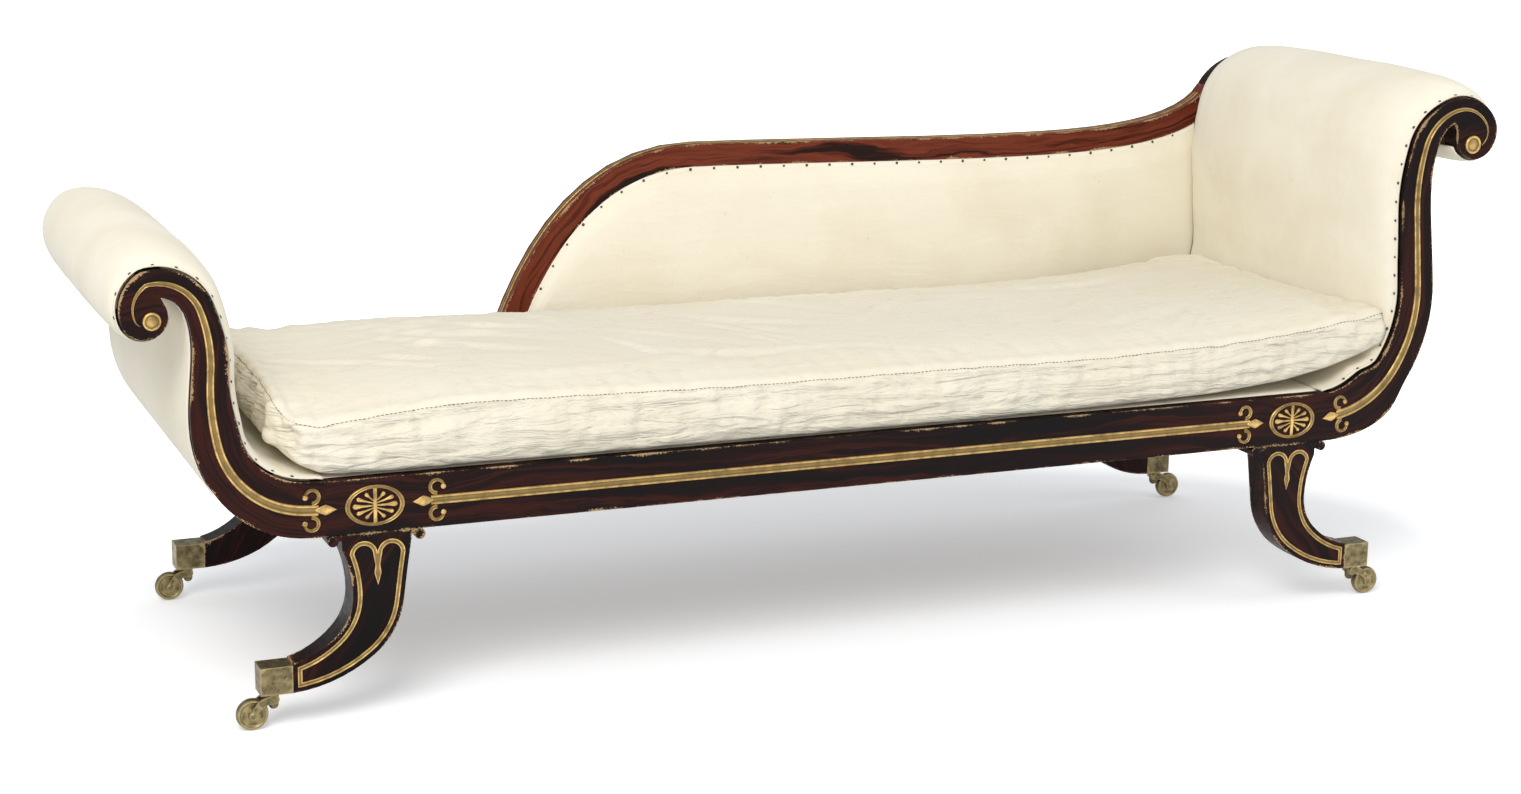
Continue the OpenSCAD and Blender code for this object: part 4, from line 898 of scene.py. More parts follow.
def shaped_copy(
        node: str, name: str, finish: Any, line: Array | None = None, cell: float = 0.0,
        bevel: float = 0.0008, origin: float = 0.0, flip: float = 1.0, hollow: float = 0.0) -> Piece:
    """Copy a CAD node with merged points, eased edges, and the grain's lay and the edges written on it.

    Args:
        node: the CAD node.
        name: the new piece's name.
        finish: its finish.
        line: the line that its grain follows, or None for no grain.
        cell: size of the cells that its faces are cut into, or 0 for none.
        bevel: width of its eased edges.
        origin: distance along the grain where its line starts.
        flip: -1 where the grain runs towards the foot.
        hollow: width of the raised rim left round a hollow in its front face, or 0 for none.

    Returns:
        The new object.
    """
    bm = bmesh.new()
    bm.from_mesh(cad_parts[node].data)
    bmesh.ops.remove_doubles(bm, verts=bm.verts, dist=2e-6)
    bmesh.ops.dissolve_limit(bm, angle_limit=math.radians(0.4), verts=bm.verts, edges=bm.edges)

    def shows(edge: bmesh.types.BMEdge) -> bool:
        """Whether an edge is sharp and isn't part of the glued joint between a rail and an end."""
        turned = len(edge.link_faces) == 2 and edge.calc_face_angle(0) > SHARP
        upright = abs(edge.verts[0].co.x - edge.verts[1].co.x) < JOINT_SLACK
        return turned and not (upright and all(
            abs(abs(v.co.x + SIZES.centre_x) - SIZES.half_seat) < JOINT_SLACK and v.co.z > LEG_TOP
            for v in edge.verts))

    def fronts() -> list[bmesh.types.BMFace]:
        """The faces that look to the front, furthest forward."""
        face = min(v.co.y for v in bm.verts)
        return [f for f in bm.faces if f.normal.y < -0.99 and abs(f.calc_center_median().y - face) < 1e-5]

    sharp = [e for e in bm.edges if shows(e)]
    starts = np.array([e.verts[0].co[:] for e in sharp])
    ends = np.array([e.verts[1].co[:] for e in sharp])
    if cell:
        low = [min(v.co[k] for v in bm.verts) for k in range(3)]
        high = [max(v.co[k] for v in bm.verts) for k in range(3)]
        for axis in range(3):
            count = max(1, round((high[axis] - low[axis]) / cell))
            for k in range(1, count):
                spot, normal = Vector((0, 0, 0)), Vector((0, 0, 0))
                spot[axis] = low[axis] + (high[axis] - low[axis]) * k / count
                normal[axis] = 1
                bmesh.ops.bisect_plane(
                    bm, geom=bm.verts[:] + bm.edges[:] + bm.faces[:], dist=1e-6, plane_co=spot, plane_no=normal)
    if hollow:
        bmesh.ops.triangulate(bm, faces=fronts(), quad_method="BEAUTY", ngon_method="BEAUTY")
        level = fronts()
        for wide, deep in ((hollow, 0.0), (hollow * 0.5, HOLLOW_DEEP)):
            sink(bm, level, wide, deep)
    weight = bm.edges.layers.float.new("bevel_weight_edge")
    for e in bm.edges:
        e[weight] = 1.0 if shows(e) else 0.0
    mesh = bpy.data.meshes.new(name)
    bm.to_mesh(mesh)
    bm.free()
    mesh.shade_smooth()
    mesh.set_sharp_from_angle(angle=SHARP)
    points = points_of(mesh)
    set_value(mesh, "edge", edge_distance(points, starts, ends))
    if hollow:
        off = points[:, 1] - points[:, 1].min() - HOLLOW_DEEP
        set_value(mesh, "hollow", (np.abs(off) < 0.00015).astype(float))
    if line is not None:
        lay = along_line(points, line)
        lay[:, 0] = origin + flip * lay[:, 0]
        set_lay(mesh, lay)
    made = add_object(name, mesh, finish)
    if bevel:
        eased = made.modifiers.new("eased_edges", "BEVEL")
        eased.width, eased.segments, eased.limit_method = bevel, 2, "WEIGHT"
        eased.harden_normals = eased.use_clamp_overlap = True
    return made


def sweep(line: Array, profile: Rows, face: float, relief: float) -> Form:
    """Run a moulding's profile along a line on a front face.

    Args:
        line: rows of x, z, heading and half width.
        profile: across and height shares, from one side to the other.
        face: the front face on Y.
        relief: the moulding's height.

    Returns:
        The moulding's form, hollow between its reeds.
    """
    shape = [*profile, (profile[-1][0], -0.2), (profile[0][0], -0.2)]
    points = []
    for x, z, heading, half in line:
        h = math.radians(heading)
        lift = relief * min(1.0, half / (line[0][3] * 0.5))
        aside = -math.sin(h) * half, math.cos(h) * half
        points += [[x + aside[0] * across, face - lift * high, z + aside[1] * across] for across, high in shape]
    return np.array(points), ring_faces(len(line), len(shape)), np.tile(between_reeds(shape), len(line))


def between_reeds(shape: Rows) -> list[float]:
    """The hollow value at each point of a moulding's profile."""
    return [1.0 if 0 < high < 0.6 and abs(across) < 0.6 else 0.0 for across, high in shape]


def joined(forms: Sequence[Form]) -> Form:
    """Join several forms into one."""
    faces, count = [], 0
    for points, own, _ in forms:
        faces += [[i + count for i in face] for face in own]
        count += len(points)
    return np.vstack([form[0] for form in forms]), faces, np.concatenate([form[2] for form in forms])


# Geometry Nodes


class Repeater(Nodes):
    """A Geometry Nodes tree with named inputs, turned into a plain mesh."""

    def __init__(self, name: str, numbers: dict[str, float]) -> None:
        """Start a tree.

        Args:
            name: the tree's name.
            numbers: its named inputs and their values.
        """
        super().__init__(bpy.data.node_groups.new(name, "GeometryNodeTree"))
        sockets = self.tree.interface
        for way in ("INPUT", "OUTPUT"):
            sockets.new_socket("Geometry", in_out=way, socket_type="NodeSocketGeometry")
        self.numbers = numbers
        self.keys = {}
        for label, value in numbers.items():
            kind = "NodeSocketInt" if isinstance(value, int) else "NodeSocketFloat"
            self.keys[label] = sockets.new_socket(label, in_out="INPUT", socket_type=kind).identifier
        self.entry = self.node("NodeGroupInput")
        self.exit = self.node("NodeGroupOutput")

    def number(self, label: str) -> Socket:
        """A named input's socket."""
        return self.entry.outputs[label]

    def attribute(self, name: str, kind: str = "FLOAT_VECTOR") -> Socket:
        """A stored attribute's socket."""
        return self.node("GeometryNodeInputNamedAttribute", {"Name": name}, data_type=kind).outputs["Attribute"]

    def turned(self, axis: str) -> bpy.types.Node:
        """The turn that points an axis the way that each point faces."""
        return self.node("FunctionNodeAlignRotationToVector", {"Vector": self.attribute("facing")}, axis=axis)

    def close(self, geometry: Socket, finish: Any) -> None:
        """End the tree in Realize Instances and Set Material."""
        real = self.node("GeometryNodeRealizeInstances", {0: geometry})
        dressed = self.node("GeometryNodeSetMaterial", {0: real.outputs[0]})
        dressed.inputs["Material"].default_value = material(finish)
        self.tree.links.new(dressed.outputs[0], self.exit.inputs[0])

    def baked(self, carrier: Piece) -> Piece:
        """Run the tree on an object and keep its result as a plain mesh.

        Args:
            carrier: the object whose mesh the tree reads.

        Returns:
            The same object with its new mesh.
        """
        modifier = carrier.modifiers.new(self.tree.name, "NODES")
        modifier.node_group = self.tree
        for label, value in self.numbers.items():
            modifier[self.keys[label]] = value
        keep_result(carrier, modifier)
        return carrier


def points_carrier(name: str, spots: Array, facing: Array, finish: Any) -> Piece:
    """Loose points with a facing direction, for a tree to place copies on."""
    mesh = bpy.data.meshes.new(name)
    mesh.from_pydata([tuple(p) for p in spots], [], [])
    stored = mesh.attributes.new("facing", "FLOAT_VECTOR", "POINT")
    stored.data.foreach_set("vector", facing.astype(np.float32).ravel())
    return add_object(name, mesh, finish)


@dataclass(frozen=True)
class Bead:
    """A small rounded form that is repeated on points.

    Attributes:
        finish: its finish.
        axis: the axis of its own that turns to each point's facing.
        half: half its length, width and height.
        spread: least and most share of that size.
        detail: segments and rings of its mesh.
        seed: seed of its sizes.
    """

    finish: Any
    axis: str
    half: tuple[float, float, float]
    spread: tuple[float, float]
    detail: tuple[int, int]
    seed: int

    def placed(self, name: str, spots: Array, facing: Array) -> Piece:
        """Copies on points, each turned to its own facing and a little uneven in size.

        Args:
            name: the new piece's name.
            spots: the points.
            facing: the direction that each copy looks in.

        Returns:
            The new object.
        """
        sizes = dict(zip(("Half length", "Half width", "Half height"), self.half))
        made = Repeater(name + "_tree", {
            **sizes, "Least size": self.spread[0], "Most size": self.spread[1], "Seed": self.seed})
        ball = made.node("GeometryNodeMeshUVSphere", {
            "Segments": self.detail[0], "Rings": self.detail[1], "Radius": 1.0})
        scale = made.node("CombineXYZ", {k: made.number(label) for k, label in enumerate(sizes)})
        ball = made.node("GeometryNodeTransform", {"Geometry": ball.outputs["Mesh"], "Scale": scale.outputs[0]})
        turn = made.turned(self.axis)
        size = made.node("FunctionNodeRandomValue", {
            2: made.number("Least size"), 3: made.number("Most size"), "Seed": made.number("Seed")},
            data_type="FLOAT")
        copies = made.node("GeometryNodeInstanceOnPoints", {
            "Points": made.entry.outputs[0], "Instance": ball.outputs[0], "Rotation": turn.outputs[0],
            "Scale": size.outputs[1]})
        made.close(made.node("GeometryNodeSetShadeSmooth", {0: copies.outputs[0]}).outputs[0], self.finish)
        return made.baked(points_carrier(name, spots, facing, self.finish))


TACK = Bead(TACK_IRON, "Z", (0.0023, 0.0023, 0.00115), (0.84, 1.16), (12, 7), 7)


# Soft forms


def closed_sheet(
        name: str, outer: Array, inner: Array, lay: Array, finish: Any) -> Piece:
    """Close two matching grids of points round their rim.

    Args:
        name: the piece's name.
        outer: rows by columns of points that show.
        inner: the grid behind them.
        lay: rows by columns of UV pairs, in metres.
        finish: its finish.

    Returns:
        The new object, its faces turned outwards.
    """
    index, quads = grid_quads(*outer.shape[:2])
    half = index.size
    rim = np.concatenate([index[0, :-1], index[:-1, -1], index[-1, :0:-1], index[:0:-1, 0]])
    after = np.roll(rim, -1)
    wall = np.stack([rim, after, after + half, rim + half], -1)
    faces = np.vstack([quads, quads[:, ::-1] + half, wall])
    mesh = mesh_from(name, np.vstack([outer.reshape(-1, 3), inner.reshape(-1, 3)]), faces.tolist())
    set_lay(mesh, np.vstack([lay.reshape(-1, 2)] * 2))
    return add_object(name, mesh, finish)


def smoothed(values: Array, passes: int = 2) -> Array:
    """A run of values with its kinks eased."""
    for _ in range(passes):
        inner = (values[:-2] + 2 * values[1:-1] + values[2:]) / 4
        values = np.concatenate([values[:1], inner, values[-1:]])
    return values


def wander(points: Array, size: float, seed: float = 0.0) -> Array:
    """Smooth noise between -1 and 1 at each point, over a wave size in metres."""
    shift = Vector((seed, seed * 1.7, -seed))
    return np.array([noise.noise(Vector(p) / size + shift) for p in points])


def inflate(
        piece: Piece, pins: Array, pressure: float, cap: float, shrink: float,
        frames: int = 20) -> None:
    """Swell a piece as cloth under pressure and keep the result on its mesh.

    Args:
        piece: the object.
        pins: how firmly each point is held, from 0 to 1.
        pressure: the cloth's inner pressure.
        cap: the most that a point may move, in metres.
        shrink: share that the cloth draws in by, negative to let it out.
        frames: steps of the simulation.
    """
    start = points_of(piece.data)
    group = piece.vertex_groups.new(name="held")
    for level in np.unique(np.round(pins, 2)):
        if level > 0:
            group.add(np.flatnonzero(np.round(pins, 2) == level).tolist(), float(level), "REPLACE")
    cloth = piece.modifiers.new("stuffing", "CLOTH")
    choices = {
        "quality": 6, "mass": 0.25, "tension_stiffness": 18, "compression_stiffness": 18, "shear_stiffness": 6,
        "bending_stiffness": 0.6, "use_pressure": True, "uniform_pressure_force": pressure,
        "vertex_group_mass": group.name, "pin_stiffness": 4, "shrink_min": shrink}
    for key, value in choices.items():
        setattr(cloth.settings, key, value)
    cloth.settings.effector_weights.gravity = 0
    cloth.collision_settings.use_collision = cloth.collision_settings.use_self_collision = False
    scene = bpy.context.scene
    scene.frame_start, scene.frame_end = 1, frames
    cloth.point_cache.frame_start, cloth.point_cache.frame_end = 1, frames
    for frame_number in range(1, frames + 1):
        scene.frame_set(frame_number)
    moved = points_of(piece.evaluated_get(bpy.context.evaluated_depsgraph_get()).data) - start
    far = np.linalg.norm(moved, axis=1)
    far[~np.isfinite(far)] = 0
    scale = np.where(far > 1e-9, cap * np.tanh(far / cap) / np.maximum(far, 1e-9), 0)
    piece.modifiers.remove(cloth)
    piece.vertex_groups.remove(group)
    scene.frame_set(1)
    set_points(piece.data, start + np.nan_to_num(moved) * scale[:, None])
    LOG.info("%s swelled by up to %.1f mm", piece.name, 1000 * float(np.nanmax(far * scale)))


def subdivide(piece: Piece) -> None:
    """Round a piece's mesh off with one level of subdivision, kept on the mesh."""
    finer = piece.modifiers.new("finer", "SUBSURF")
    finer.levels = finer.render_levels = 1
    keep_result(piece, finer, layers=True)
    piece.data.shade_smooth()


def offset_grid(end: ScrollShape, rows: Array, ys: Array, off: Array) -> Array:
    """Points off an end's line.

    Args:
        end: the end.
        rows: the line's rows.
        ys: places across the end, from its middle.
        off: distance to the line's left, for each row and place.

    Returns:
        Rows by places of points.
    """
    h = np.radians(rows[:, 2])[:, None]
    x = end.placed_x(rows[:, [0]] - np.sin(h) * off)
    z = rows[:, [1]] + np.cos(h) * off
    return np.stack([x, np.broadcast_to(ys - SIZES.centre_y, x.shape), z], -1)


def upright_points(x: Array, z: Array) -> Array:
    """Rows of points in the plane of x and z."""
    return np.stack([x.ravel(), np.zeros(x.size), z.ravel()], 1)


# The day-bed


@dataclass
class ShowWood:
    """The painted show-frame: rails, scrolled ends, crest rail and sabre legs.

    Attributes:
        cell: size of the cells that hold the wear along its edges.
        bevel: width of the eased edges.
        crest_bevel: width of the crest rail's eased edges.
        leg_in: how far the legs' grain starts from their inner side.
        toe_in: how far it ends from their toes.
    """

    cell: float = 0.009
    bevel: float = 0.0011
    crest_bevel: float = 0.0022
    leg_in: float = 0.06
    toe_in: float = 0.03

    def painted(self, node: str, line: Array, origin: float, way: float = 1) -> None:
        """Paint one piece.

        Args:
            node: its CAD node.
            line: the line that its grain follows.
            origin: distance along the grain where the line starts.
            way: -1 where the grain runs towards the foot.
        """
        piece = shaped_copy(node, f"painted_{node}", ROSEWOOD, line, self.cell, self.bevel, origin, way)
        settle(piece, Slot.ROSEWOOD, [node])

    def build(self) -> None:
        """Make the pieces."""
        for node in ("front_rail", "rear_rail"):
            self.painted(node, np.array([[-1.0, SIZES.rail_mid], [1.0, SIZES.rail_mid]]), -1)
        for end in ENDS:
            way = end.side.value
            for place in ("front", "rear"):
                spine = end.spine()
                spine[:, 0] = end.placed_x(spine[:, 0])
                self.painted(f"{end.name}_scroll_{place}", spine, spine[0, 0], way)
                leg = f"leg_{end.name}_{place}"
                low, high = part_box(leg)
                inner, outer = (low[0], high[0])[::way]
                line = np.array([[inner + way * self.leg_in, high[2]], [outer - way * self.toe_in, low[2]]])
                self.painted(leg, line, 0.4 * way)
        line = CREST.spine() - [SIZES.centre_x, 0, 0, 0]
        piece = shaped_copy("crest_rail", "painted_crest_rail", CREST_WOOD, line, self.cell, self.crest_bevel)
        settle(piece, Slot.CREST, ["crest_rail"])


@dataclass
class Gilt:
    """The gilded mouldings, fleurs, rosettes, leg lines, crest lines and eye bosses.

    Attributes:
        relief: height of the mouldings.
        rail_half, scroll_half, crest_half: half their widths.
        fleur_size: size of the fleurs.
        rosette_size: width and height of the rosettes.
        lobe_heads: radii of the rosettes' lobes, as shares of the width.
        lobe_turn: degrees between two lobes.
        taper_share: share of the scrolls' mouldings that narrows slowly.
        waist: share of their width that is left there.
        profile: across and height shares of the mouldings.
        leaf_half, leaf_thin: half a leaf's width and how much it loses to its tip.
        leaf_ring, leaf_from, leaf_turn: a leaf's radius, first angle and turn, in degrees.
        leaf_side: one side of its profile.
        bud: half the outline of a fleur's bud.
        tip_at, tip_r: the round tip of a leaf.
        dome: width and height shares of a raised outline.
        ring_shape, boss_shape: radius and height shares of a rosette's ring and of an eye's boss.
    """

    relief: float = 0.0022
    rail_half: float = 0.0065
    scroll_half: float = 0.0075
    crest_half: float = 0.0055
    fleur_size: float = 0.036
    rosette_size: tuple = (0.082, 0.057)
    lobe_heads: tuple = (0.034, 0.036, 0.046, 0.036, 0.034)
    lobe_turn: float = 37
    taper_share: float = 0.55
    waist: float = 0.65
    profile: tuple = (
        (-1, 0), (-0.97, 0.5), (-0.86, 0.86), (-0.72, 1), (-0.58, 0.86), (-0.46, 0.5), (-0.3, 0.3), (0, 0.24),
        (0.3, 0.3), (0.46, 0.5), (0.58, 0.86), (0.72, 1), (0.86, 0.86), (0.97, 0.5), (1, 0))
    leaf_half: float = 0.088
    leaf_thin: float = 0.03
    leaf_ring: float = 0.255
    leaf_from: float = -92
    leaf_turn: float = 268
    leaf_side: tuple = ((-1, -0.1), (-0.95, 0.5), (-0.66, 0.95), (-0.28, 0.5))
    bud: tuple = ((-0.11, 0.03), (0.06, 0.13), (0.28, 0.21), (0.4, 0.165), (0.56, 0.075), (0.72, 0.0))
    tip_at: tuple = (-0.49, 0.5)
    tip_r: float = 0.108
    dome: tuple = ((1.0, -0.1), (1.0, 0.4), (0.86, 0.85), (0.5, 1.05), (0.15, 1.12))
    ring_shape: tuple = (
        (0.83, -0.1), (0.84, 0.7), (0.865, 1), (0.89, 0.6), (0.94, 0.6), (0.965, 1), (0.99, 0.7), (1, -0.1))
    boss_shape: tuple = (
        (1, -0.3), (1, 0.55), (0.94, 0.9), (0.84, 1), (0.75, 0.8), (0.7, 0.42), (0.62, 0.4), (0.5, 0.66),
        (0.3, 0.82), (0.1, 0.88))

    def scroll_line(self, end: ScrollShape) -> Array:
        """The moulding's line on an end, with its half width."""
        spine = end.spine()
        curl = beside(rows_of(end.curl(), end.gilt_skip, 0.5), -spine[-1, 3] / 2)
        line = np.vstack([rows_of(spine, end.gilt_first, 1), curl])
        line = resampled(line, np.linspace(0, run_along(line)[-1], 150))
        t = np.linspace(0, 1, len(line))
        past = (t - self.taper_share) / (1 - self.taper_share)
        slow = 1 - (1 - self.waist) * t / self.taper_share
        fade = np.where(past < 0, slow, self.waist * (1 - past * past) + 0.05)
        line[:, 3] = self.scroll_half * fade
        line[:, 0] = end.placed_x(line[:, 0])
        if end.side is Side.FOOT:
            line[:, 2] = 180 - line[:, 2]
        return line

    def gilded(self, name: str, form: Form, angle: float, replaced: Sequence[str] = ()) -> None:
        """Make a gilt piece of a form, sharp past an angle."""
        settle(show_form(name, form, GOLD, angle), Slot.GILT, replaced)

    def moulding(self, name: str, line: Array, replaced: str) -> None:
        """Run the reeded moulding along a line on the front."""
        self.gilded(name, sweep(line, self.profile, SIZES.front, self.relief), 60, [replaced])

    def on_front(self, flat: Array) -> Array:
        """Points of x, z and height shares as points on the front face."""
        return np.stack([flat[:, 0], SIZES.front - self.relief * np.clip(flat[:, 2], -0.2, 2), flat[:, 1]], 1)

    def leaf(self, side: int) -> Form:
        """One hollowed leaf that curls back to a round tip, in shares of the fleur's size.

        Args:
            side: 1 above the moulding, -1 below it.

        Returns:
            The leaf's form, with points of along, across and height.
        """
        shape = [*self.leaf_side, *[(-across, high) for across, high in self.leaf_side[::-1]]]
        steps = 30
        points = []
        for k in range(steps + 1):
            t = k / steps
            a = math.radians(self.leaf_from + self.leaf_turn * t)
            half = self.leaf_half - self.leaf_thin * t
            for across, high in shape:
                r = self.leaf_ring + across * half
                points.append([-0.235 + r * math.cos(a), side * (0.52 + r * math.sin(a)), high])
        hollow = [1.0 if abs(across) < 0.3 else 0.0 for across, _ in shape]
        return np.array(points), ring_faces(steps + 1, len(shape)), np.tile(hollow, steps + 1)

    def puffed(self, ring: Array, centre: Sequence[float]) -> Form:
        """A flat outline raised into a low dome towards its centre."""
        spot = np.array(centre, float)
        points = [[*(spot + (place - spot) * wide), high] for wide, high in self.dome for place in ring]
        return np.array(points), ring_faces(len(self.dome), len(ring)), np.zeros(len(points))

    def fleur(self, x: float, z: float, turn: float, name: str) -> None:
        """A pointed bud between two leaves that curl back, at the end of a moulding."""
        size = self.fleur_size
        bud = np.array(self.bud)
        bud = np.vstack([bud, bud[-2::-1] * [1, -1]])
        a = np.radians(np.arange(0, 360, 20))
        tx, tz = self.tip_at
        tips = [np.stack([tx + self.tip_r * np.cos(a), side * (tz + self.tip_r * np.sin(a))], 1)
                for side in (-1, 1)]
        parts = [self.puffed(bud, (0.26, 0)), self.leaf(-1), self.leaf(1)]
        parts += [self.puffed(tip, tip.mean(0)) for tip in tips]
        points, faces, hollow = joined(parts)
        a = math.radians(turn)
        px = x + size * (points[:, 0] * math.cos(a) - points[:, 1] * math.sin(a))
        pz = z + size * (points[:, 0] * math.sin(a) + points[:, 1] * math.cos(a))
        self.gilded(name, (self.on_front(np.stack([px, pz, points[:, 2]], 1)), faces, hollow), 50)

    def lobe(self, base: Array, tip: Array, head: float) -> Form:
        """One lobe of a rosette, a thin stem that swells to a round head."""
        ahead = (tip - base) / np.linalg.norm(tip - base)
        aside = np.array([-ahead[1], ahead[0]])
        stem = head * 0.3
        turn = np.radians(np.arange(-100, 101, 20))
        neck = base * 0.45 + tip * 0.55
        ring = [base - aside * stem, neck - aside * stem * 1.5]
        ring += [tip + head * (ahead * math.cos(a) + aside * math.sin(a)) for a in turn]
        ring += [neck + aside * stem * 1.5, base + aside * stem]
        return self.puffed(np.array(ring), tip * 0.8 + base * 0.2)

    def rosette(self, x: float, name: str) -> None:
        """An oval ring with an upright bar and a fan of lobes on each side.

        Args:
            x: its middle.
            name: the new piece's name.
        """
        wide, high = self.rosette_size
        shape, count = self.ring_shape, 72
        turn = np.linspace(0, math.tau, count, endpoint=False)
        points = [[wide / 2 * share * math.cos(a), high / 2 * share * math.sin(a), lift]
                  for a in turn for share, lift in shape]
        hollow = np.tile([0.0, 0, 0, 1, 1, 0, 0, 0], count)
        bar = wide * 0.032
        post = np.array([[-bar, -0.42 * high], [bar, -0.42 * high], [bar, 0.42 * high], [-bar, 0.42 * high]])
        ring = np.array(points), ring_faces(count, len(shape), looped=True), hollow
        parts = [ring, self.puffed(post, (0, 0))]
        for side in (-1, 1):
            for k, head in enumerate(self.lobe_heads):
                a = math.radians((k - 2) * self.lobe_turn)
                base = np.array([side * bar, 0.06 * high * (k - 2)])
                tip = np.array([side * wide * (0.07 + 0.26 * math.cos(a)), 0.285 * high * math.sin(a)])
                parts.append(self.lobe(base, tip, wide * head))
        flat, faces, hollow = joined(parts)
        placed = self.on_front(flat + [x, SIZES.rail_mid, 0])
        self.gilded(name, (placed, faces, hollow), 50, ["rosettes"])

    def eye(self, end: ScrollShape) -> None:
        """The turned boss in the eye of a scroll, with a raised ring round a low dome."""
        cx, cz = end.eye
        high = SIZES.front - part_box("eye_bosses")[0][1]
        shape, count = self.boss_shape, 48
        turn = np.linspace(0, math.tau, count, endpoint=False)
        rings = []
        for share, lift in shape:
            r = end.boss_r * share
            y = np.full(count, SIZES.front - high * lift)
            rings.append(np.stack([end.placed_x(cx) + r * np.cos(turn), y, cz + r * np.sin(turn)], 1))
        hollow = np.repeat([0, 0, 0, 0, 0.3, 1, 1, 0.6, 0.45, 0.45], count)
        form = np.vstack(rings), ring_faces(len(shape), count), hollow
        self.gilded(f"gilt_{end.name}_eye", form, 50, ["eye_bosses"])

    def crest_band(self) -> None:
        """The reeded band along the crest rail's top."""
        line = beside(rows_of(CREST.spine(), 0.02, 0.975), CREST.height / 2)
        line = resampled(line, np.linspace(0, run_along(line)[-1], 170))
        middle = SIZES.rear - SIZES.rail_thick / 2
        shape = [*self.profile, (1, -0.2), (-1, -0.2)]
        points = []
        for x, z, heading in line[:, :3] - [SIZES.centre_x, 0, 0]:
            a = math.radians(heading)
            for across, high in shape:
                lift = self.relief * 0.55 * high
                y = middle + across * self.crest_half
                points.append([x - math.sin(a) * lift, y, z + math.cos(a) * lift])
        hollow = np.tile(between_reeds(shape), len(line))
        form = np.array(points), ring_faces(len(line), len(shape)), hollow
        self.gilded("gilt_crest_band", form, 60, ["crest_gilt"])

    def build(self) -> None:
        """Make the pieces."""
        low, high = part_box("rail_gilt")
        reach = (high[0] - low[0]) / 2 - self.fleur_size * 0.72
        middle = (high[0] + low[0]) / 2
        ways = (-1, 1)
        line = np.array([[middle + way * reach, SIZES.rail_mid, 0, self.rail_half] for way in ways])
        line = resampled(line, np.linspace(0, 2 * reach, 90))
        self.moulding("gilt_rail_moulding", line, "rail_gilt")
        for way, turn in zip(ways, (180, 0)):
            self.fleur(middle + way * reach, SIZES.rail_mid, turn, f"gilt_rail_fleur_{way % 3}")
        for end in ENDS:
            line = self.scroll_line(end)
            self.moulding(f"gilt_{end.name}_scroll_moulding", line, f"{end.name}_scroll_gilt")
            self.fleur(line[0, 0], line[0, 1], 180 + line[0, 2], f"gilt_{end.name}_fleur")
            self.eye(end)
        self.crest_band()
        low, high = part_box("rosettes")
        for x, name in ((low[0], "foot"), (high[0], "head")):
            inward = math.copysign(self.rosette_size[0] / 2, -x)
            self.rosette(x + inward, f"gilt_{name}_rosette")
        lines = shaped_copy("leg_gilt", "gilt_leg_lines", GOLD, bevel=0.0002, hollow=0.0013)
        settle(lines, Slot.GILT, ["leg_gilt"])


@dataclass
class Casters:
    """The brass sockets and horn casters, each on its own bodies.

    Attributes:
        cell: size of the cells that hold the wear along their edges.
        parts: each part of a caster, what it rides on and the width of its eased edges.
        screw_bevel: that width on the sockets' screws.
    """

    cell: float = 0.008
    parts: tuple = (
        ("socket", "frame", 0.0007), ("horn", "caster", 0.0005), ("wheel", "roller", 0.0006),
        ("pin", "caster", 0.0002))
    screw_bevel: float = 0.0002

    def build(self) -> None:
        """Make the pieces."""
        for end in ENDS:
            for place in ("front", "rear"):
                corner = f"{end.name}_{place}"
                for kind, carrier, bevel in self.parts:
                    node = f"{kind}_{corner}"
                    piece = shaped_copy(node, f"cast_{node}", BRASS, cell=self.cell, bevel=bevel)
                    body = "frame" if carrier == "frame" else f"{carrier}_{corner}"
                    settle(piece, Slot.BRASS, [node], body)
        screws = shaped_copy("socket_screws", "cast_socket_screws", BRASS, bevel=self.screw_bevel)
        settle(screws, Slot.BRASS, ["socket_screws"])


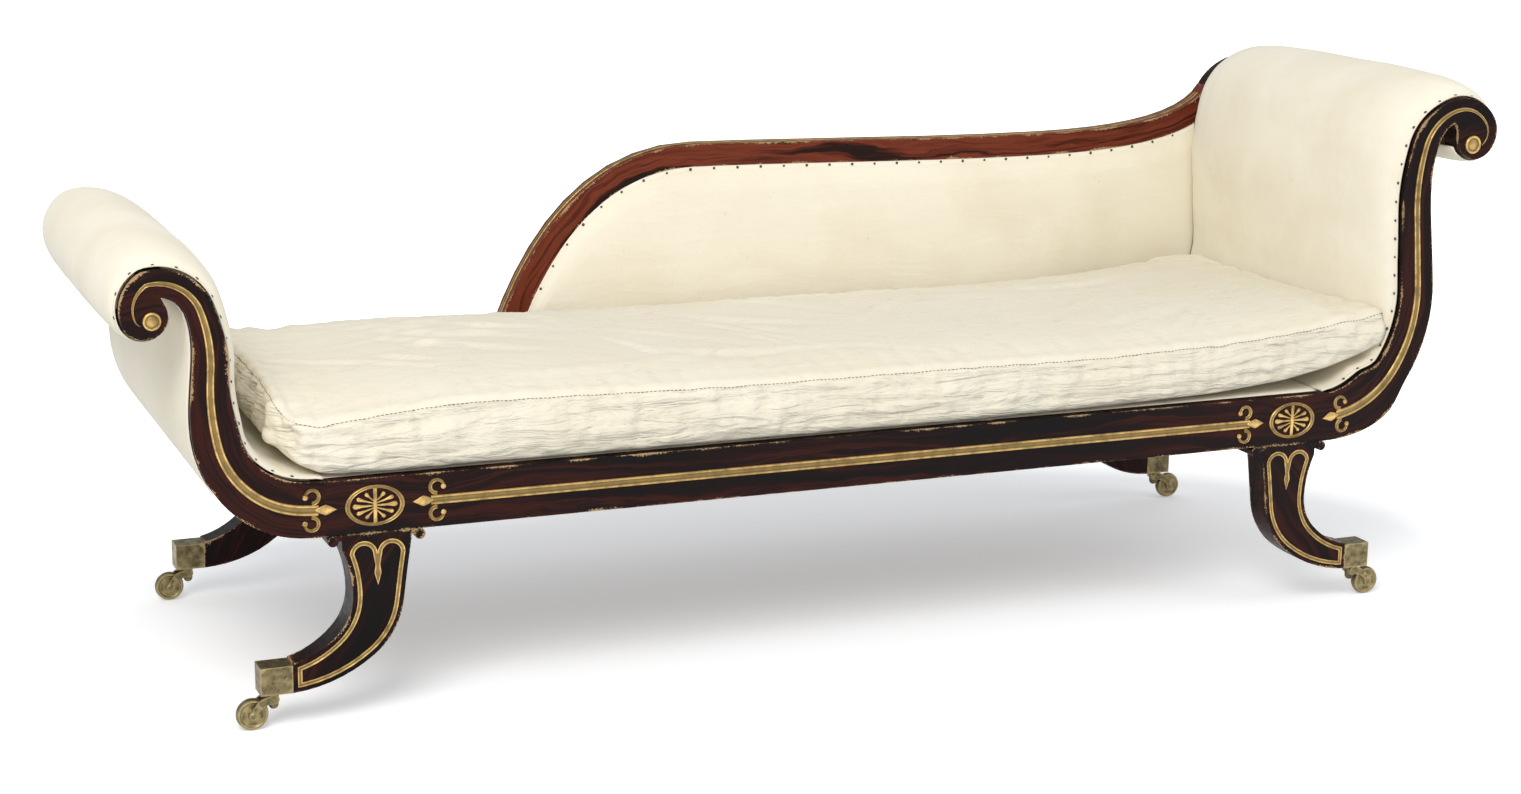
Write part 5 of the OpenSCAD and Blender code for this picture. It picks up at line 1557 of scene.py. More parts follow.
@dataclass
class HiddenFrame:
    """The bare beech framing, its screws, and the webbing and hessian under the seat.

    Attributes:
        strap: width of the straps.
        thick: their thickness.
        wave: how far they pass over and under each other.
        hessian: thickness of the hessian.
        long_count, cross_count: how many straps run each way.
    """

    strap: float = 0.05
    thick: float = 0.0015
    wave: float = 0.0007
    hessian: float = 0.0009
    long_count: int = 5
    cross_count: int = 13

    def straps(self, name: str, spots: Array, along: Sequence[float], length: float, waves: float,
               phases: Array) -> Piece:
        """Woven straps laid flat on points.

        Args:
            name: the piece's name.
            spots: middle of each strap.
            along: direction of the straps.
            length: their length.
            waves: how often each one passes over and under, along its length.
            phases: where in its wave each strap starts, in turns.

        Returns:
            The new object.
        """
        made = Repeater(name + "_tree", {
            "Strap length": length, "Strap width": self.strap, "Strap thickness": self.thick, "Waves": waves,
            "Wave height": self.wave})
        strap = made.node("GeometryNodeMeshGrid", {
            "Size X": made.number("Strap length"), "Size Y": made.number("Strap width"), "Vertices X": 160,
            "Vertices Y": 7})
        copies = made.node("GeometryNodeInstanceOnPoints", {
            "Points": made.entry.outputs[0], "Instance": strap.outputs["Mesh"],
            "Rotation": made.turned("X").outputs[0]})
        kept = made.node("GeometryNodeStoreNamedAttribute", {
            "Geometry": copies.outputs[0], "Name": "turn", "Value": made.attribute("phase", "FLOAT")},
            data_type="FLOAT", domain="INSTANCE")
        real = made.node("GeometryNodeRealizeInstances", {0: kept.outputs[0]})
        place = made.node("GeometryNodeInputPosition").outputs[0]
        run = made.node("VectorMath", {0: place, 1: tuple(along)}, operation="DOT_PRODUCT").outputs["Value"]
        turns = made.maths("DIVIDE", run, made.number("Strap length"))
        turns = made.times(turns, made.number("Waves"))
        turns = made.plus(turns, made.attribute("turn", "FLOAT"))
        wave = made.maths("SINE", made.times(turns, math.tau))
        lift = made.times(wave, made.number("Wave height"))
        offset = made.node("CombineXYZ", {2: lift}).outputs[0]
        waved = made.node("GeometryNodeSetPosition", {"Geometry": real.outputs[0], "Offset": offset})
        extruded = made.node("GeometryNodeExtrudeMesh", {
            "Mesh": waved.outputs[0], "Offset": (0.0, 0.0, 1.0), "Offset Scale": made.number("Strap thickness"),
            "Individual": False})
        back = made.node("GeometryNodeFlipFaces", {0: waved.outputs[0]})
        both = made.node("GeometryNodeJoinGeometry")
        made.tree.links.new(extruded.outputs[0], both.inputs[0])
        made.tree.links.new(back.outputs[0], both.inputs[0])
        merged = made.node("GeometryNodeMergeByDistance", {"Geometry": both.outputs[0], "Distance": 1e-5})
        made.close(merged.outputs[0], WEB_JUTE)
        carrier = points_carrier(name, spots, np.tile(np.array(along, float), (len(spots), 1)), WEB_JUTE)
        set_value(carrier.data, "phase", phases)
        return made.baked(carrier)

    def webs(self, axis: int, phase: float) -> None:
        """One layer of the seat's webbing, which passes over and under the other.

        Args:
            axis: 0 for the long straps, 1 for the cross straps.
            phase: where in its wave the first strap crosses, in turns.
        """
        long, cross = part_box("webbing_long"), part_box("webbing_cross")
        spans = [np.array(long), np.array(cross)]
        across = [[box[0][1 - k], box[1][1 - k]] for k, box in enumerate(spans)]
        counts = self.long_count, self.cross_count
        count = counts[axis]
        starts = [a[0] + self.strap / 2 for a in across]
        pitches = [(a[1] - a[0] - self.strap) / (n - 1) for a, n in zip(across, counts)]
        level = (long[0][2] + cross[1][2]) / 2 - self.thick / 2
        own = spans[axis]
        length, middle = own[1][axis] - own[0][axis], (own[0][axis] + own[1][axis]) / 2
        waves = length / (2 * pitches[1 - axis])
        spots = np.full((count, 3), level)
        spots[:, axis] = middle
        spots[:, 1 - axis] = starts[axis] + pitches[axis] * np.arange(count)
        phases = phase - starts[1 - axis] / length * waves + 0.5 * (np.arange(count) % 2)
        along = ((1, 0, 0), (0, 1, 0))[axis]
        name = ("long", "cross")[axis]
        piece = self.straps(f"seat_webs_{name}", spots, along, length, waves, phases)
        settle(piece, Slot.JUTE, [f"webbing_{name}"])

    def woven_seat(self) -> None:
        """The seat's webbing, over and under, and the hessian on it."""
        self.webs(0, 0.25)
        self.webs(1, 0.75)
        self.seat_cloth()

    def seat_cloth(self) -> None:
        """The level sheet of hessian on the webbing, dipping a little."""
        low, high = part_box("seat_hessian")
        x, y = level_grid(low, high, 0.014)
        dip = 0.0004 * np.sin(x * 60) * np.sin(y * 70)
        outer = np.stack([x, y, np.full_like(x, high[2]) - 0.0004 + dip], -1)
        inner = outer - [0, 0, min(self.hessian, high[2] - low[2])]
        piece = closed_sheet("seat_hessian_cloth", outer, inner, np.stack([x, y], -1), HESSIAN)
        settle(piece, Slot.JUTE, ["seat_hessian"])

    def end_webs(self, end: ScrollShape) -> None:
        """Straps across an end, under its stuffing."""
        wrap = end.wrap()
        pitch = run_along(wrap)[-1] / end.web_count
        ys = np.linspace(0.002 - SIZES.pad_front, end.pad_rear - 0.002, 24) - SIZES.centre_y
        forms = []
        for k in range(end.web_count):
            first = (k + 0.5) * pitch - self.strap / 2
            rows = resampled(wrap, np.linspace(first, first + self.strap, 9))
            under, over = beside(rows, 0.0002), beside(rows, 0.0002 + self.thick)
            ring = np.vstack([under[:, :2], over[::-1, :2]])
            points = np.array([[end.placed_x(x), y, z] for y in ys for x, z in ring])
            forms.append((points, ring_faces(len(ys), len(ring)), np.zeros(len(points))))
        piece = show_form(f"{end.name}_end_webs", joined(forms), WEB_JUTE, 40)
        settle(piece, Slot.JUTE, [f"{end.name}_webbing"])

    def build(self) -> None:
        """Make the pieces."""
        beech = BareBeech()
        for node in ("seat_cross_rails", "corner_blocks", "foot_cross_rails", "head_cross_rails", "back_posts"):
            settle(shaped_copy(node, f"beech_{node}", beech), Slot.FRAME_WOOD, [node])
        screws = shaped_copy("corner_block_screws", "steel_block_screws", TACK_IRON, bevel=0.0002)
        settle(screws, Slot.IRON, ["corner_block_screws"])
        self.woven_seat()
        for end in ENDS:
            self.end_webs(end)


@dataclass
class Upholstery:
    """The stuffed ends, back and deck, their outside covers and their tacks.

    Attributes:
        cell: spacing of the cloth's points.
        bed: how far the stuffing's back lies off the webs' line.
        tack_pitch, back_pitch: spacing of the tacks on the ends and the back.
        back_left, back_right: from the crest's foot to the head pad.
        back_low, back_high: heights of the back's lower edge and of its top at the head.
        back_full: how far its stuffing stands out.
        fill, deck_fill: meant for how firmly the ends and back, and the deck, are stuffed; not used.
        cover_off, cover_in: how far the outside covers' faces lie off the wood.
        bulges: shares of an end's half depth and how full it is there.
        rims: distances of the first rows of points from an end's edge.
        back_rows, back_fulls: shares of the back's height and how full it is there.
    """

    cell: float = 0.0075
    bed: float = 0.0024
    tack_pitch: float = 0.029
    back_left: float = -0.3345
    back_right: float = 0.9052
    back_low: float = 0.3433
    back_high: float = 0.661
    back_full: float = 0.009
    back_pitch: float = 0.041
    fill: float = 0.85
    deck_fill: float = 0.9
    cover_off: float = 0.0019
    cover_in: float = 0.0007
    rims: tuple = (0, 0.004, 0.0075, 0.0095, 0.012, 0.0155, 0.02, 0.026, 0.033)
    back_rows: tuple = (0, 0.02, 0.05, 0.12, 0.27, 0.52, 0.77, 0.9, 0.97, 1)
    back_fulls: tuple = (0.1, 0.25, 0.5, 0.75, 0.93, 1, 0.93, 0.7, 0.28, 0)
    bulges: ClassVar[Rows] = (
        (0, 1), (0.35, 1), (0.6, 0.95), (0.75, 0.86), (0.86, 0.72), (0.92, 0.55), (0.955, 0.36), (0.974, 0.05),
        (0.978, 0), (1, 0))

    def calico(self, name: str, outer: Array, inner: Array, lay: Array, node: str) -> Piece:
        """Close a calico form, set it on the frame and hide its CAD node."""
        piece = closed_sheet(f"calico_{name}", outer, inner, lay, PAD_CALICO)
        settle(piece, Slot.CALICO, [node])
        return piece

    def stuffed_end(self, end: ScrollShape) -> None:
        """The stuffing and calico of one end."""
        wrap = end.wrap()
        total = run_along(wrap)[-1]
        count = round(total / self.cell)
        rows = resampled(wrap, np.linspace(0, total, count))
        run = np.linspace(0, 1, count)
        full = smoothed(np.interp(run, *np.array(end.full).T), 6)[:, None]
        front, rear = SIZES.pad_front, end.pad_rear
        rim = np.array(self.rims)
        margin = rim[-1] + 0.008
        middle = np.linspace(margin - front, rear - margin, round((front + rear - 2 * margin) / self.cell))
        ys = np.concatenate([rim - front, middle, (rear - rim)[::-1]])
        share = np.where(ys < 0, -ys / front, ys / rear)
        bulge = smoothed(np.interp(share, *np.array(self.bulges).T), 1)
        bulge[share > 0.977] = 0
        edge = np.minimum(ys + front, rear - ys)
        pull = np.exp(-np.maximum(edge - 0.006, 0) / 0.012) * (edge > 0.006)
        wave = 0.5 + 0.5 * np.cos(math.tau * run * total / self.tack_pitch)[:, None]
        swell = end.rim + (end.crown - end.rim) * full * bulge - 0.0011 * wave * pull * (full * 0.7 + 0.3)
        flat = np.stack(np.broadcast_arrays(rows[:, [0]], ys, rows[:, [1]]), -1).reshape(-1, 3)
        soft = wander(flat * [1, 0.6, 1], 0.085, 3.1) * 0.0012
        soft += wander(flat * [1.3, 0.45, 1.3], 0.03, 9.4) * 0.00045
        swell = swell + soft.reshape(swell.shape) * np.clip(edge / 0.04, 0, 1)
        bed = np.full_like(swell, self.bed)
        bed[0] = 0.0004
        lay = np.stack(np.broadcast_arrays((run * total)[:, None], ys), -1)
        outer, inner = (offset_grid(end, rows, ys, off) for off in (swell, bed))
        pad = f"{end.name}_pad"
        self.calico(pad, outer, inner, lay, pad)

    def back_grid(self, xs: Array) -> tuple[Array, Array, Callable[[Array], Array]]:
        """The back's lowest and highest points at places along it, and how they lean to meet the head pad.

        Args:
            xs: places along the back's lower edge.

        Returns:
            The lowest and highest heights, and a function from heights to leaned places.
        """
        line = beside(HEAD_END.wrap(), HEAD_END.rim + 0.0012)
        line = line[:int(np.argmax(line[:, 1] > self.back_high)) + 1]
        t = (xs - self.back_left) / (self.back_right - self.back_left)
        floor = line[:int(np.argmax(line[:, 0] >= self.back_right)) + 1]
        rising = np.maximum(self.back_low, np.interp(xs, floor[:, 0], floor[:, 1]))
        low = np.where(xs < SIZES.half_seat, self.back_low, rising)

        def right_at(z: Array) -> Array:
            """Where the head pad's rear edge is at each height."""
            return np.interp(z, line[:, 1], line[:, 0])

        def leaned(z: Array) -> Array:
            """Places along the back at each height."""
            return xs[:, None] + (right_at(z) - right_at(low)[:, None]) * (t ** 8)[:, None]

        under = CREST.under()
        top_x = leaned(np.full((len(xs), 1), self.back_high))[:, 0]
        return low, np.interp(top_x, under[:, 0], under[:, 1]) - 0.0006, leaned

    def stuffed_back(self) -> None:
        """The stuffing and calico of the back."""
        left, right = self.back_left, self.back_right
        rim_line = beside(CREST.spine(), -CREST.height / 2 - 0.0084)
        n = round((right - left) / 0.0095)
        t = 0.5 - np.cos(np.linspace(0, np.pi, n)) / 2
        xs = left + (right - left) * (0.35 * t + 0.65 * np.linspace(0, 1, n))
        low, high, leaned = self.back_grid(xs)
        top_x = leaned(high[:, None])[:, 0]
        stop = np.maximum(low + (high - low) / 2, np.interp(top_x, rim_line[:, 0], rim_line[:, 1]))
        u = np.linspace(0, 1, 44)
        rows = np.concatenate([u * 0.985, [1.0]])
        full = np.interp(rows, self.back_rows, self.back_fulls)
        side = np.clip(np.minimum(xs - left, right - xs) / 0.07, 0, 1)
        side = np.sqrt(1 - (1 - side) ** 2)
        z = low[:, None] + (stop - low)[:, None] * rows[None, :]
        z = np.concatenate([z, high[:, None]], 1)
        swell = self.back_full * (0.15 + 0.85 * side)[:, None] * np.concatenate([full, [0]])[None, :]
        x = leaned(z)
        top_edge = np.clip(high[:, None] - z, 0, 1)
        pull = np.exp(-np.maximum(top_edge - 0.008, 0) / 0.016) * (top_edge > 0.006)
        wave = 0.5 + 0.5 * np.cos(math.tau * x / self.back_pitch)
        swell = swell - 0.001 * wave * pull
        flat = upright_points(x, z)
        soft = wander(flat, 0.12, 5.5) * 0.0011 + wander(flat * [0.5, 1, 1.4], 0.045, 1.2) * 0.0005
        swell = swell + soft.reshape(x.shape) * np.clip(top_edge / 0.05, 0, 1)
        face = SIZES.inner_rear - 0.0003
        outer = np.stack([x - SIZES.centre_x, face - np.maximum(swell, 0), z], -1)
        inner = np.stack([x - SIZES.centre_x, np.full_like(z, face + 0.012), z], -1)
        self.calico("back_pad", outer, inner, np.stack([x, z], -1), "back_pad")

    def stuffed_deck(self) -> None:
        """The thin stuffing and calico that the squab lies on."""
        low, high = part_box("seat_deck")
        x, y = level_grid(low, high, 0.012)
        side = np.minimum(y - low[1], high[1] - y)
        edge = np.minimum(np.minimum(x - low[0], high[0] - x), side)
        flat = np.stack([x.ravel(), y.ravel(), np.zeros(x.size)], 1)
        soft = (wander(flat, 0.16, 2.2) * 0.0006).reshape(x.shape) - 0.0006
        top = high[2] + soft * np.clip(edge / 0.05, 0, 1) - 0.003 * np.clip(1 - side / 0.012, 0, 1) ** 2
        outer = np.stack([x, y, top], -1)
        inner = np.stack([x, y, np.full_like(x, low[2])], -1)
        self.calico("seat_deck", outer, inner, np.stack([x, y], -1), "seat_deck")

    def outside_end(self, end: ScrollShape) -> None:
        """The calico stretched over an end's outer side."""
        line = rows_of(end.neck(), 0.3, end.cover_last)
        total = run_along(line)[-1]
        rows = resampled(line, np.linspace(0, total, round(total / 0.01)))
        ys = np.linspace(-SIZES.pad_front, SIZES.pad_front, 60)
        flat = np.ones((len(rows), len(ys)))
        outer, inner = (offset_grid(end, rows, ys, -off * flat) for off in (self.cover_off, self.cover_in))
        lay = np.stack(np.broadcast_arrays(run_along(rows)[:, None], ys), -1)
        piece = self.calico(f"{end.name}_outside", outer, inner, lay, f"{end.name}_outside_cover")
        f"{end.name}_scroll_front"
        f"{end.name}_scroll_rear"

    def outside_back(self) -> None:
        """The calico stretched over the rear of the back."""
        left, right = self.back_left, self.back_right
        xs = np.linspace(left, right, 130)
        low, high, leaned = self.back_grid(xs)
        z = low[:, None] + (high - low)[:, None] * np.linspace(0, 1, 34)[None, :]
        x = leaned(z)
        soft = (wander(upright_points(x, z), 0.15, 8.8) * 0.0002).reshape(x.shape)
        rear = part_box("back_outside_cover")[1][1] - 0.0005
        outer = np.stack([x - SIZES.centre_x, rear + soft, z], -1)
        inner = outer - [0, 0.0012, 0]
        piece = self.calico("back_outside", outer, inner, np.stack([x, z], -1), "back_outside_cover")

    def tack_rows(self, node: str, piece_name: str) -> None:
        """Domed tacks where the CAD has its nails, each facing the way that its nail does."""
        bm = bmesh.new()
        bm.from_mesh(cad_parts[node].data)
        bmesh.ops.remove_doubles(bm, verts=bm.verts, dist=2e-6)
        seen: set[int] = set()
        spots, facing = [], []
        for first in bm.verts:
            if first.index in seen:
                continue
            island, queue = [], [first]
            seen.add(first.index)
            while queue:
                v = queue.pop()
                island.append(v.co[:])
                for e in v.link_edges:
                    other = e.other_vert(v)
                    if other.index not in seen:
                        seen.add(other.index)
                        queue.append(other)
            middle = np.mean(island, 0)
            off = np.array(island) - middle
            axis = np.linalg.svd(off, full_matrices=False)[2][2]
            high = off @ axis
            wide = np.linalg.norm(off - high[:, None] * axis, axis=1)
            if high[wide > 0.96 * wide.max()].mean() > (high.max() + high.min()) / 2:
                axis, high = -axis, -high
            spots.append(middle + axis * high.min())
            facing.append(axis)
        bm.free()
        settle(TACK.placed(piece_name, np.array(spots), np.array(facing)), Slot.IRON, [node])

    def build(self) -> None:
        """Make the pieces."""
        for end in ENDS:
            self.stuffed_end(end)
            self.outside_end(end)
        self.stuffed_back()
        self.stuffed_deck()
        self.outside_back()
        for node in ("foot_nails", "head_nails", "back_nails"):
            self.tack_rows(node, f"tacks_{node.split('_')[0]}")


@dataclass
class Squab:
    """The loose stuffed cushion that lies on the deck and rides up on both ends.

    Attributes:
        foot_out: reach towards the foot, from the seat's middle.
        head_out: reach towards the head along the rear.
        head_more: how much further the front corner reaches there.
        front, rear: reach towards the front and the rear.
        crown: height of the top's middle over its seam.
        corner: radius of the corners in plan.
        tip_corner: radius of the corner that stands highest.
        level: height of the deck.
        lifts, sides: places along it with its lift and its border's height.
        cell: spacing of the cloth's points.
        border_rows: rows of points down the border.
        droop: how far the front corner at the foot hangs.
        press: room left between it and the stuffed ends.
        tip_from, tip_run: where the longer front starts and how far it grows.
        tip_side, tip_depth: the same across the cushion.
        end_near: how far from the middle the ends can touch it.
        wrap_reach: length of the ends' lines that it can touch.
        quilt_rows: heights of the border's quilted rows, as shares.
        quilt_deep, seam_deep: how far the rows and the seam are drawn in.
        roll_high: height of the roll beside the seam.
        belly: how far the border swells.
        tuck_deep, fine_deep: depth of the border's coarse and fine tucks.
        pucker: depth of the puckers beside the seam.
        uneven: how uneven its top is.
        crease_count, crease_seed: how many creases cross the top, and their seed.
        crease_xs, crease_ys: range of their middles.
        crease_halves, crease_wides: range of half their length and of their width.
        crease_deeps, crease_bends: range of their depth and bend.
        stitch_pitch, thread: spacing of the stitches and radius of their thread.
        pressure, swell, let_out: the stuffing's pressure, the most it may swell and the cloth's shrinking.
        fill: meant for how firmly it is stuffed; not used.
    """

    foot_out: float = 0.841
    head_out: float = 0.884
    head_more: float = 0.026
    front: float = 0.306
    rear: float = 0.246
    crown: float = 0.011
    corner: float = 0.062
    tip_corner: float = 0.024
    level: float = 0.3434
    lifts: tuple = (
        (-0.842, 0.036), (-0.82, 0.018), (-0.79, 0.005), (-0.75, 0.0), (0.2, 0.0), (0.42, 0.003), (0.6, 0.008),
        (0.72, 0.019), (0.8, 0.034), (0.86, 0.052), (0.91, 0.072))
    sides: tuple = (
        (-0.842, 0.074), (-0.775, 0.084), (-0.6, 0.09), (-0.5, 0.088), (-0.2, 0.081), (0.2, 0.081),
        (0.35, 0.077), (0.6, 0.0765), (0.72, 0.074), (0.81, 0.067), (0.87, 0.055), (0.91, 0.044))
    cell: float = 0.0098
    border_rows: int = 9
    crease_count: int = 34
    crease_seed: int = 11
    press: float = 0.0012
    droop: float = 0.03
    stitch_pitch: float = 0.0062
    thread: float = 0.00055
    tip_from: float = 0.6
    tip_run: float = 0.276
    tip_side: float = 0.05
    tip_depth: float = 0.25
    end_near: float = 0.7
    wrap_reach: float = 0.36
    quilt_rows: tuple = (0.74, 0.5, 0.27)
    quilt_deep: float = 0.003
    seam_deep: float = 0.0032
    roll_high: float = 0.0022
    belly: float = 0.0035
    tuck_deep: float = 0.006
    fine_deep: float = 0.0026
    pucker: float = 0.0036
    uneven: float = 0.0035
    crease_xs: tuple = (-0.78, 0.82)
    crease_ys: tuple = (-0.27, 0.2)
    crease_halves: tuple = (0.06, 0.24)
    crease_wides: tuple = (0.008, 0.02)
    crease_deeps: tuple = (0.0014, 0.0034)
    crease_bends: tuple = (-1.2, 1.2)
    pressure: float = 4.0
    swell: float = 0.012
    let_out: float = -0.015
    fill: float = 0.75

    def lift(self, x: Array) -> Array:
        """How far the cushion rides up at a place along it."""
        return np.interp(x, *np.array(self.lifts).T)

    def side(self, x: Array) -> Array:
        """Height of the border at a place along it."""
        return np.interp(x, *np.array(self.sides).T)

    def plan(self) -> tuple[Array, Array]:
        """A grid of places in plan, with rounded corners and a longer front corner at the head."""
        spans = ((-self.foot_out, self.head_out), (-self.front, self.rear))
        lines = [np.linspace(a, b, round((b - a) / self.cell) + 1) for a, b in spans]
        x, y = np.meshgrid(*lines, indexing="ij")
        for sx, reach in ((-1, -self.foot_out), (1, self.head_out)):
            for sy, depth in ((-1, -self.front), (1, self.rear)):
                r = self.tip_corner if sx > sy else self.corner
                ox, oy = reach - sx * r, depth - sy * r
                u, v = (x - ox) * sx / r, (y - oy) * sy / r
                inside = (u > 0) & (v > 0)
                nu, nv = (a * np.sqrt(np.maximum(1 - b * b / 2, 0)) for a, b in ((u, v), (v, u)))
                x = np.where(inside, ox + sx * r * nu, x)
                y = np.where(inside, oy + sy * r * nv, y)
        along = np.clip((x - self.tip_from) / self.tip_run, 0, 1)
        across = np.clip((-self.tip_side - y) / self.tip_depth, 0, 1)
        return x + self.head_more * along ** 2 * across ** 1.5, y

    def shell(self) -> tuple[Piece, Array]:
        """The cushion before it is stuffed, and how firmly each of its points is held.

        Returns:
            The object and one value from 0 to 1 for each point.
        """
        x, y = self.plan()
        index, quads = grid_quads(*x.shape)
        count = index.size
        nx, ny = np.meshgrid(*[np.linspace(0, 1, n) for n in x.shape], indexing="ij")
        length, width = self.foot_out + self.head_out, self.front + self.rear
        near = np.minimum(np.minimum(nx, 1 - nx) * length, np.minimum(ny, 1 - ny) * width)
        fall = self.droop * np.exp(-np.hypot(x + self.foot_out, y + self.front) / 0.085)
        dome = self.crown * np.sqrt(np.clip(1 - (1 - np.clip(near / 0.2, 0, 1)) ** 2, 0, 1))
        low = self.level + self.lift(x)
        top = np.stack([x, y, low + self.side(x) + dome - fall], -1)
        base = np.stack([x, y, low], -1)
        rim = np.concatenate([index[:-1, 0], index[-1, :-1], index[:0:-1, -1], index[0, :0:-1]])
        m, rings = len(rim), self.border_rows
        flat_top, flat_base = top.reshape(-1, 3), base.reshape(-1, 3)
        middle = [flat_top[rim] + (flat_base[rim] - flat_top[rim]) * (k / rings) for k in range(1, rings)]
        points = np.vstack([flat_top, flat_base, *middle])
        loops = [rim, *[2 * count + k * m + np.arange(m) for k in range(rings - 1)], rim + count]
        walls = [np.stack([a, np.roll(a, -1), np.roll(b, -1), b], -1) for a, b in zip(loops, loops[1:])]
        faces = np.vstack([quads, quads[:, ::-1] + count, *walls])
        points -= [SIZES.centre_x, SIZES.centre_y, 0]
        mesh = mesh_from("calico_squab", points, faces.tolist())
        self.write_lay(mesh)
        around = np.concatenate([[0], np.cumsum(np.linalg.norm(np.diff(flat_base[rim], axis=0), axis=1))])
        pins, seam, height, inward = (np.zeros(len(points)) for _ in range(4))
        pins[count:2 * count] = 1
        pins[rim] = 0.8
        seam[rim] = 1
        height[:count] = 1
        inward[:count] = near.ravel()
        way = np.zeros(len(points))
        way[rim] = way[rim + count] = around
        for k in range(rings - 1):
            level = slice(2 * count + k * m, 2 * count + (k + 1) * m)
            height[level] = 1 - (k + 1) / rings
            way[level] = around
        inner = np.ones(count, bool)
        inner[rim] = False
        spots = flat_top[inner]
        step = max(1, m // 260)
        far = np.linalg.norm(spots[:, None, :2] - flat_top[rim][None, ::step, :2], axis=2)
        way[np.flatnonzero(inner)] = around[::step][far.argmin(1)]
        for name, values in (("seam", seam), ("height", height), ("inward", inward), ("around", way)):
            set_value(mesh, name, values)
        return add_object("calico_squab", mesh, SQUAB_CALICO), pins

    def write_lay(self, mesh: Mesh) -> None:
        """Give the top and the border their own UV places, face by face."""
        layer = mesh.uv_layers.new(name="lay")
        points = points_of(mesh)
        for polygon in mesh.polygons:
            level = abs(polygon.normal.z) > 0.7
            turned = abs(polygon.normal.y) <= abs(polygon.normal.x)
            for loop in polygon.loop_indices:
                x, y, z = points[mesh.loops[loop].vertex_index]
                layer.data[loop].uv = (x, y) if level else (y if turned else x, z + 1)

    def creases(self, x: Array, y: Array) -> Array:
        """Long soft creases across the top, each a shallow groove with a ridge beside it.

        Args:
            x: places along the cushion.
            y: places across it.

        Returns:
            The height that the creases add at each place.
        """
        chosen = np.random.default_rng(self.crease_seed)
        total = np.zeros(len(x))
        for _ in range(self.crease_count):
            cx, cy = chosen.uniform(*self.crease_xs), chosen.uniform(*self.crease_ys)
            angle = chosen.normal(0.35 if cx > 0.2 else -0.25, 0.55)
            half, wide = chosen.uniform(*self.crease_halves), chosen.uniform(*self.crease_wides)
            deep, bend = chosen.uniform(*self.crease_deeps), chosen.uniform(*self.crease_bends)
            u = ((x - cx) * math.cos(angle) + (y - cy) * math.sin(angle)) / half
            v = -(x - cx) * math.sin(angle) + (y - cy) * math.cos(angle) - bend * half * u * u * 0.3
            reach = np.clip(1 - u * u, 0, 1) ** 2
            total += deep * reach * (0.75 * np.exp(-((v - 1.5 * wide) / wide) ** 2) - np.exp(-(v / wide) ** 2))
        return total

    def sew(self, piece: Piece) -> None:
        """Press the seam, the border's quilted rows, its tucks and the top's creases into the stuffed form."""
        points = points_of(piece.data)
        height, seam, inward, around = (
            value_of(piece.data, name) for name in ("height", "seam", "inward", "around"))
        x, y = points[:, 0] + SIZES.centre_x, points[:, 1] + SIZES.centre_y
        lower = points[:, 2] - self.level - self.lift(x) < 0.5 * self.side(x)
        border = np.clip(height / 0.12, 0, 1) * np.clip((1 - height) / 0.06, 0, 1)
        top = (height >= 0.97) & ~lower
        rows = np.stack([around * 31, height * 1.1, 0 * x], 1)
        tuck = np.array([noise.noise(Vector(p)) for p in rows])
        fine = np.array([noise.noise(Vector(p) * 2.3 + Vector((7, 3, 0))) for p in rows])
        broken = np.clip(wander(np.stack([around, height * 0.2, 0 * x], 1), 0.19, 2.7) * 2.2 + 0.45, 0, 1)
        quilting = sum(np.exp(-((height - row) / 0.05) ** 2) for row in self.quilt_rows) * broken
        corner = np.exp(-np.minimum(np.abs(x + self.foot_out), np.abs(self.head_out - x)) / 0.09)
        gather = 1 + 0.9 * corner
        tucks = gather * (self.tuck_deep * np.clip(tuck, -0.3, 0.8) + self.fine_deep * fine)
        belly = self.belly * np.sin(math.pi * np.clip(height * 1.25, 0, 1))
        push = border * (tucks - self.quilt_deep * quilting + belly) - self.seam_deep * seam
        roll = self.roll_high * np.exp(-((inward - 0.012) / 0.011) ** 2)
        pucker = self.pucker * gather * tuck * np.exp(-inward / 0.045)
        rough = self.creases(x, y) + self.uneven * wander(np.stack([x, y, 0 * x], 1), 0.33, 1.9)
        push += top * (roll + pucker + np.clip((inward - 0.012) / 0.05, 0, 1) * rough)
        set_points(piece.data, points + normals_of(piece.data) * push[:, None])

    def nestle(self, piece: Piece) -> None:
        """Press the cushion's ends against the stuffed ends that they ride on."""
        points = points_of(piece.data)
        places = np.linspace(0, self.wrap_reach, 60)
        levels = np.linspace(0, 1, 13)
        y = points[:, 1] + SIZES.centre_y
        for end in ENDS:
            wrap = resampled(end.wrap(), places)
            full = np.interp(places / run_along(end.wrap())[-1], *np.array(end.full).T)
            share = np.where(y < 0, -y / SIZES.pad_front, y / end.pad_rear)
            bulge = np.interp(share, *np.array(Upholstery.bulges).T)
            mine = (points[:, 0] + SIZES.centre_x) * end.side.value > self.end_near
            for level in levels:
                face = beside(wrap, end.rim + (end.crown - end.rim) * full * level + self.press)
                face[:, 0] = end.placed_x(face[:, 0])
                chosen = np.flatnonzero(mine & (np.abs(bulge - level) <= levels[1] / 2 + 1e-9))
                if not len(chosen):
                    continue
                found = along_line(points[chosen], face)
                off = found[:, 1] * end.side.value
                sunk = (off < 0) & (off > -0.05)
                heading = np.radians(np.interp(found[:, 0], run_along(face), wrap[:, 2]))
                shift = np.where(sunk, -off, 0)
                points[chosen, 0] -= end.side.value * np.sin(heading) * shift
                points[chosen, 2] += np.cos(heading) * shift
        set_points(piece.data, points)

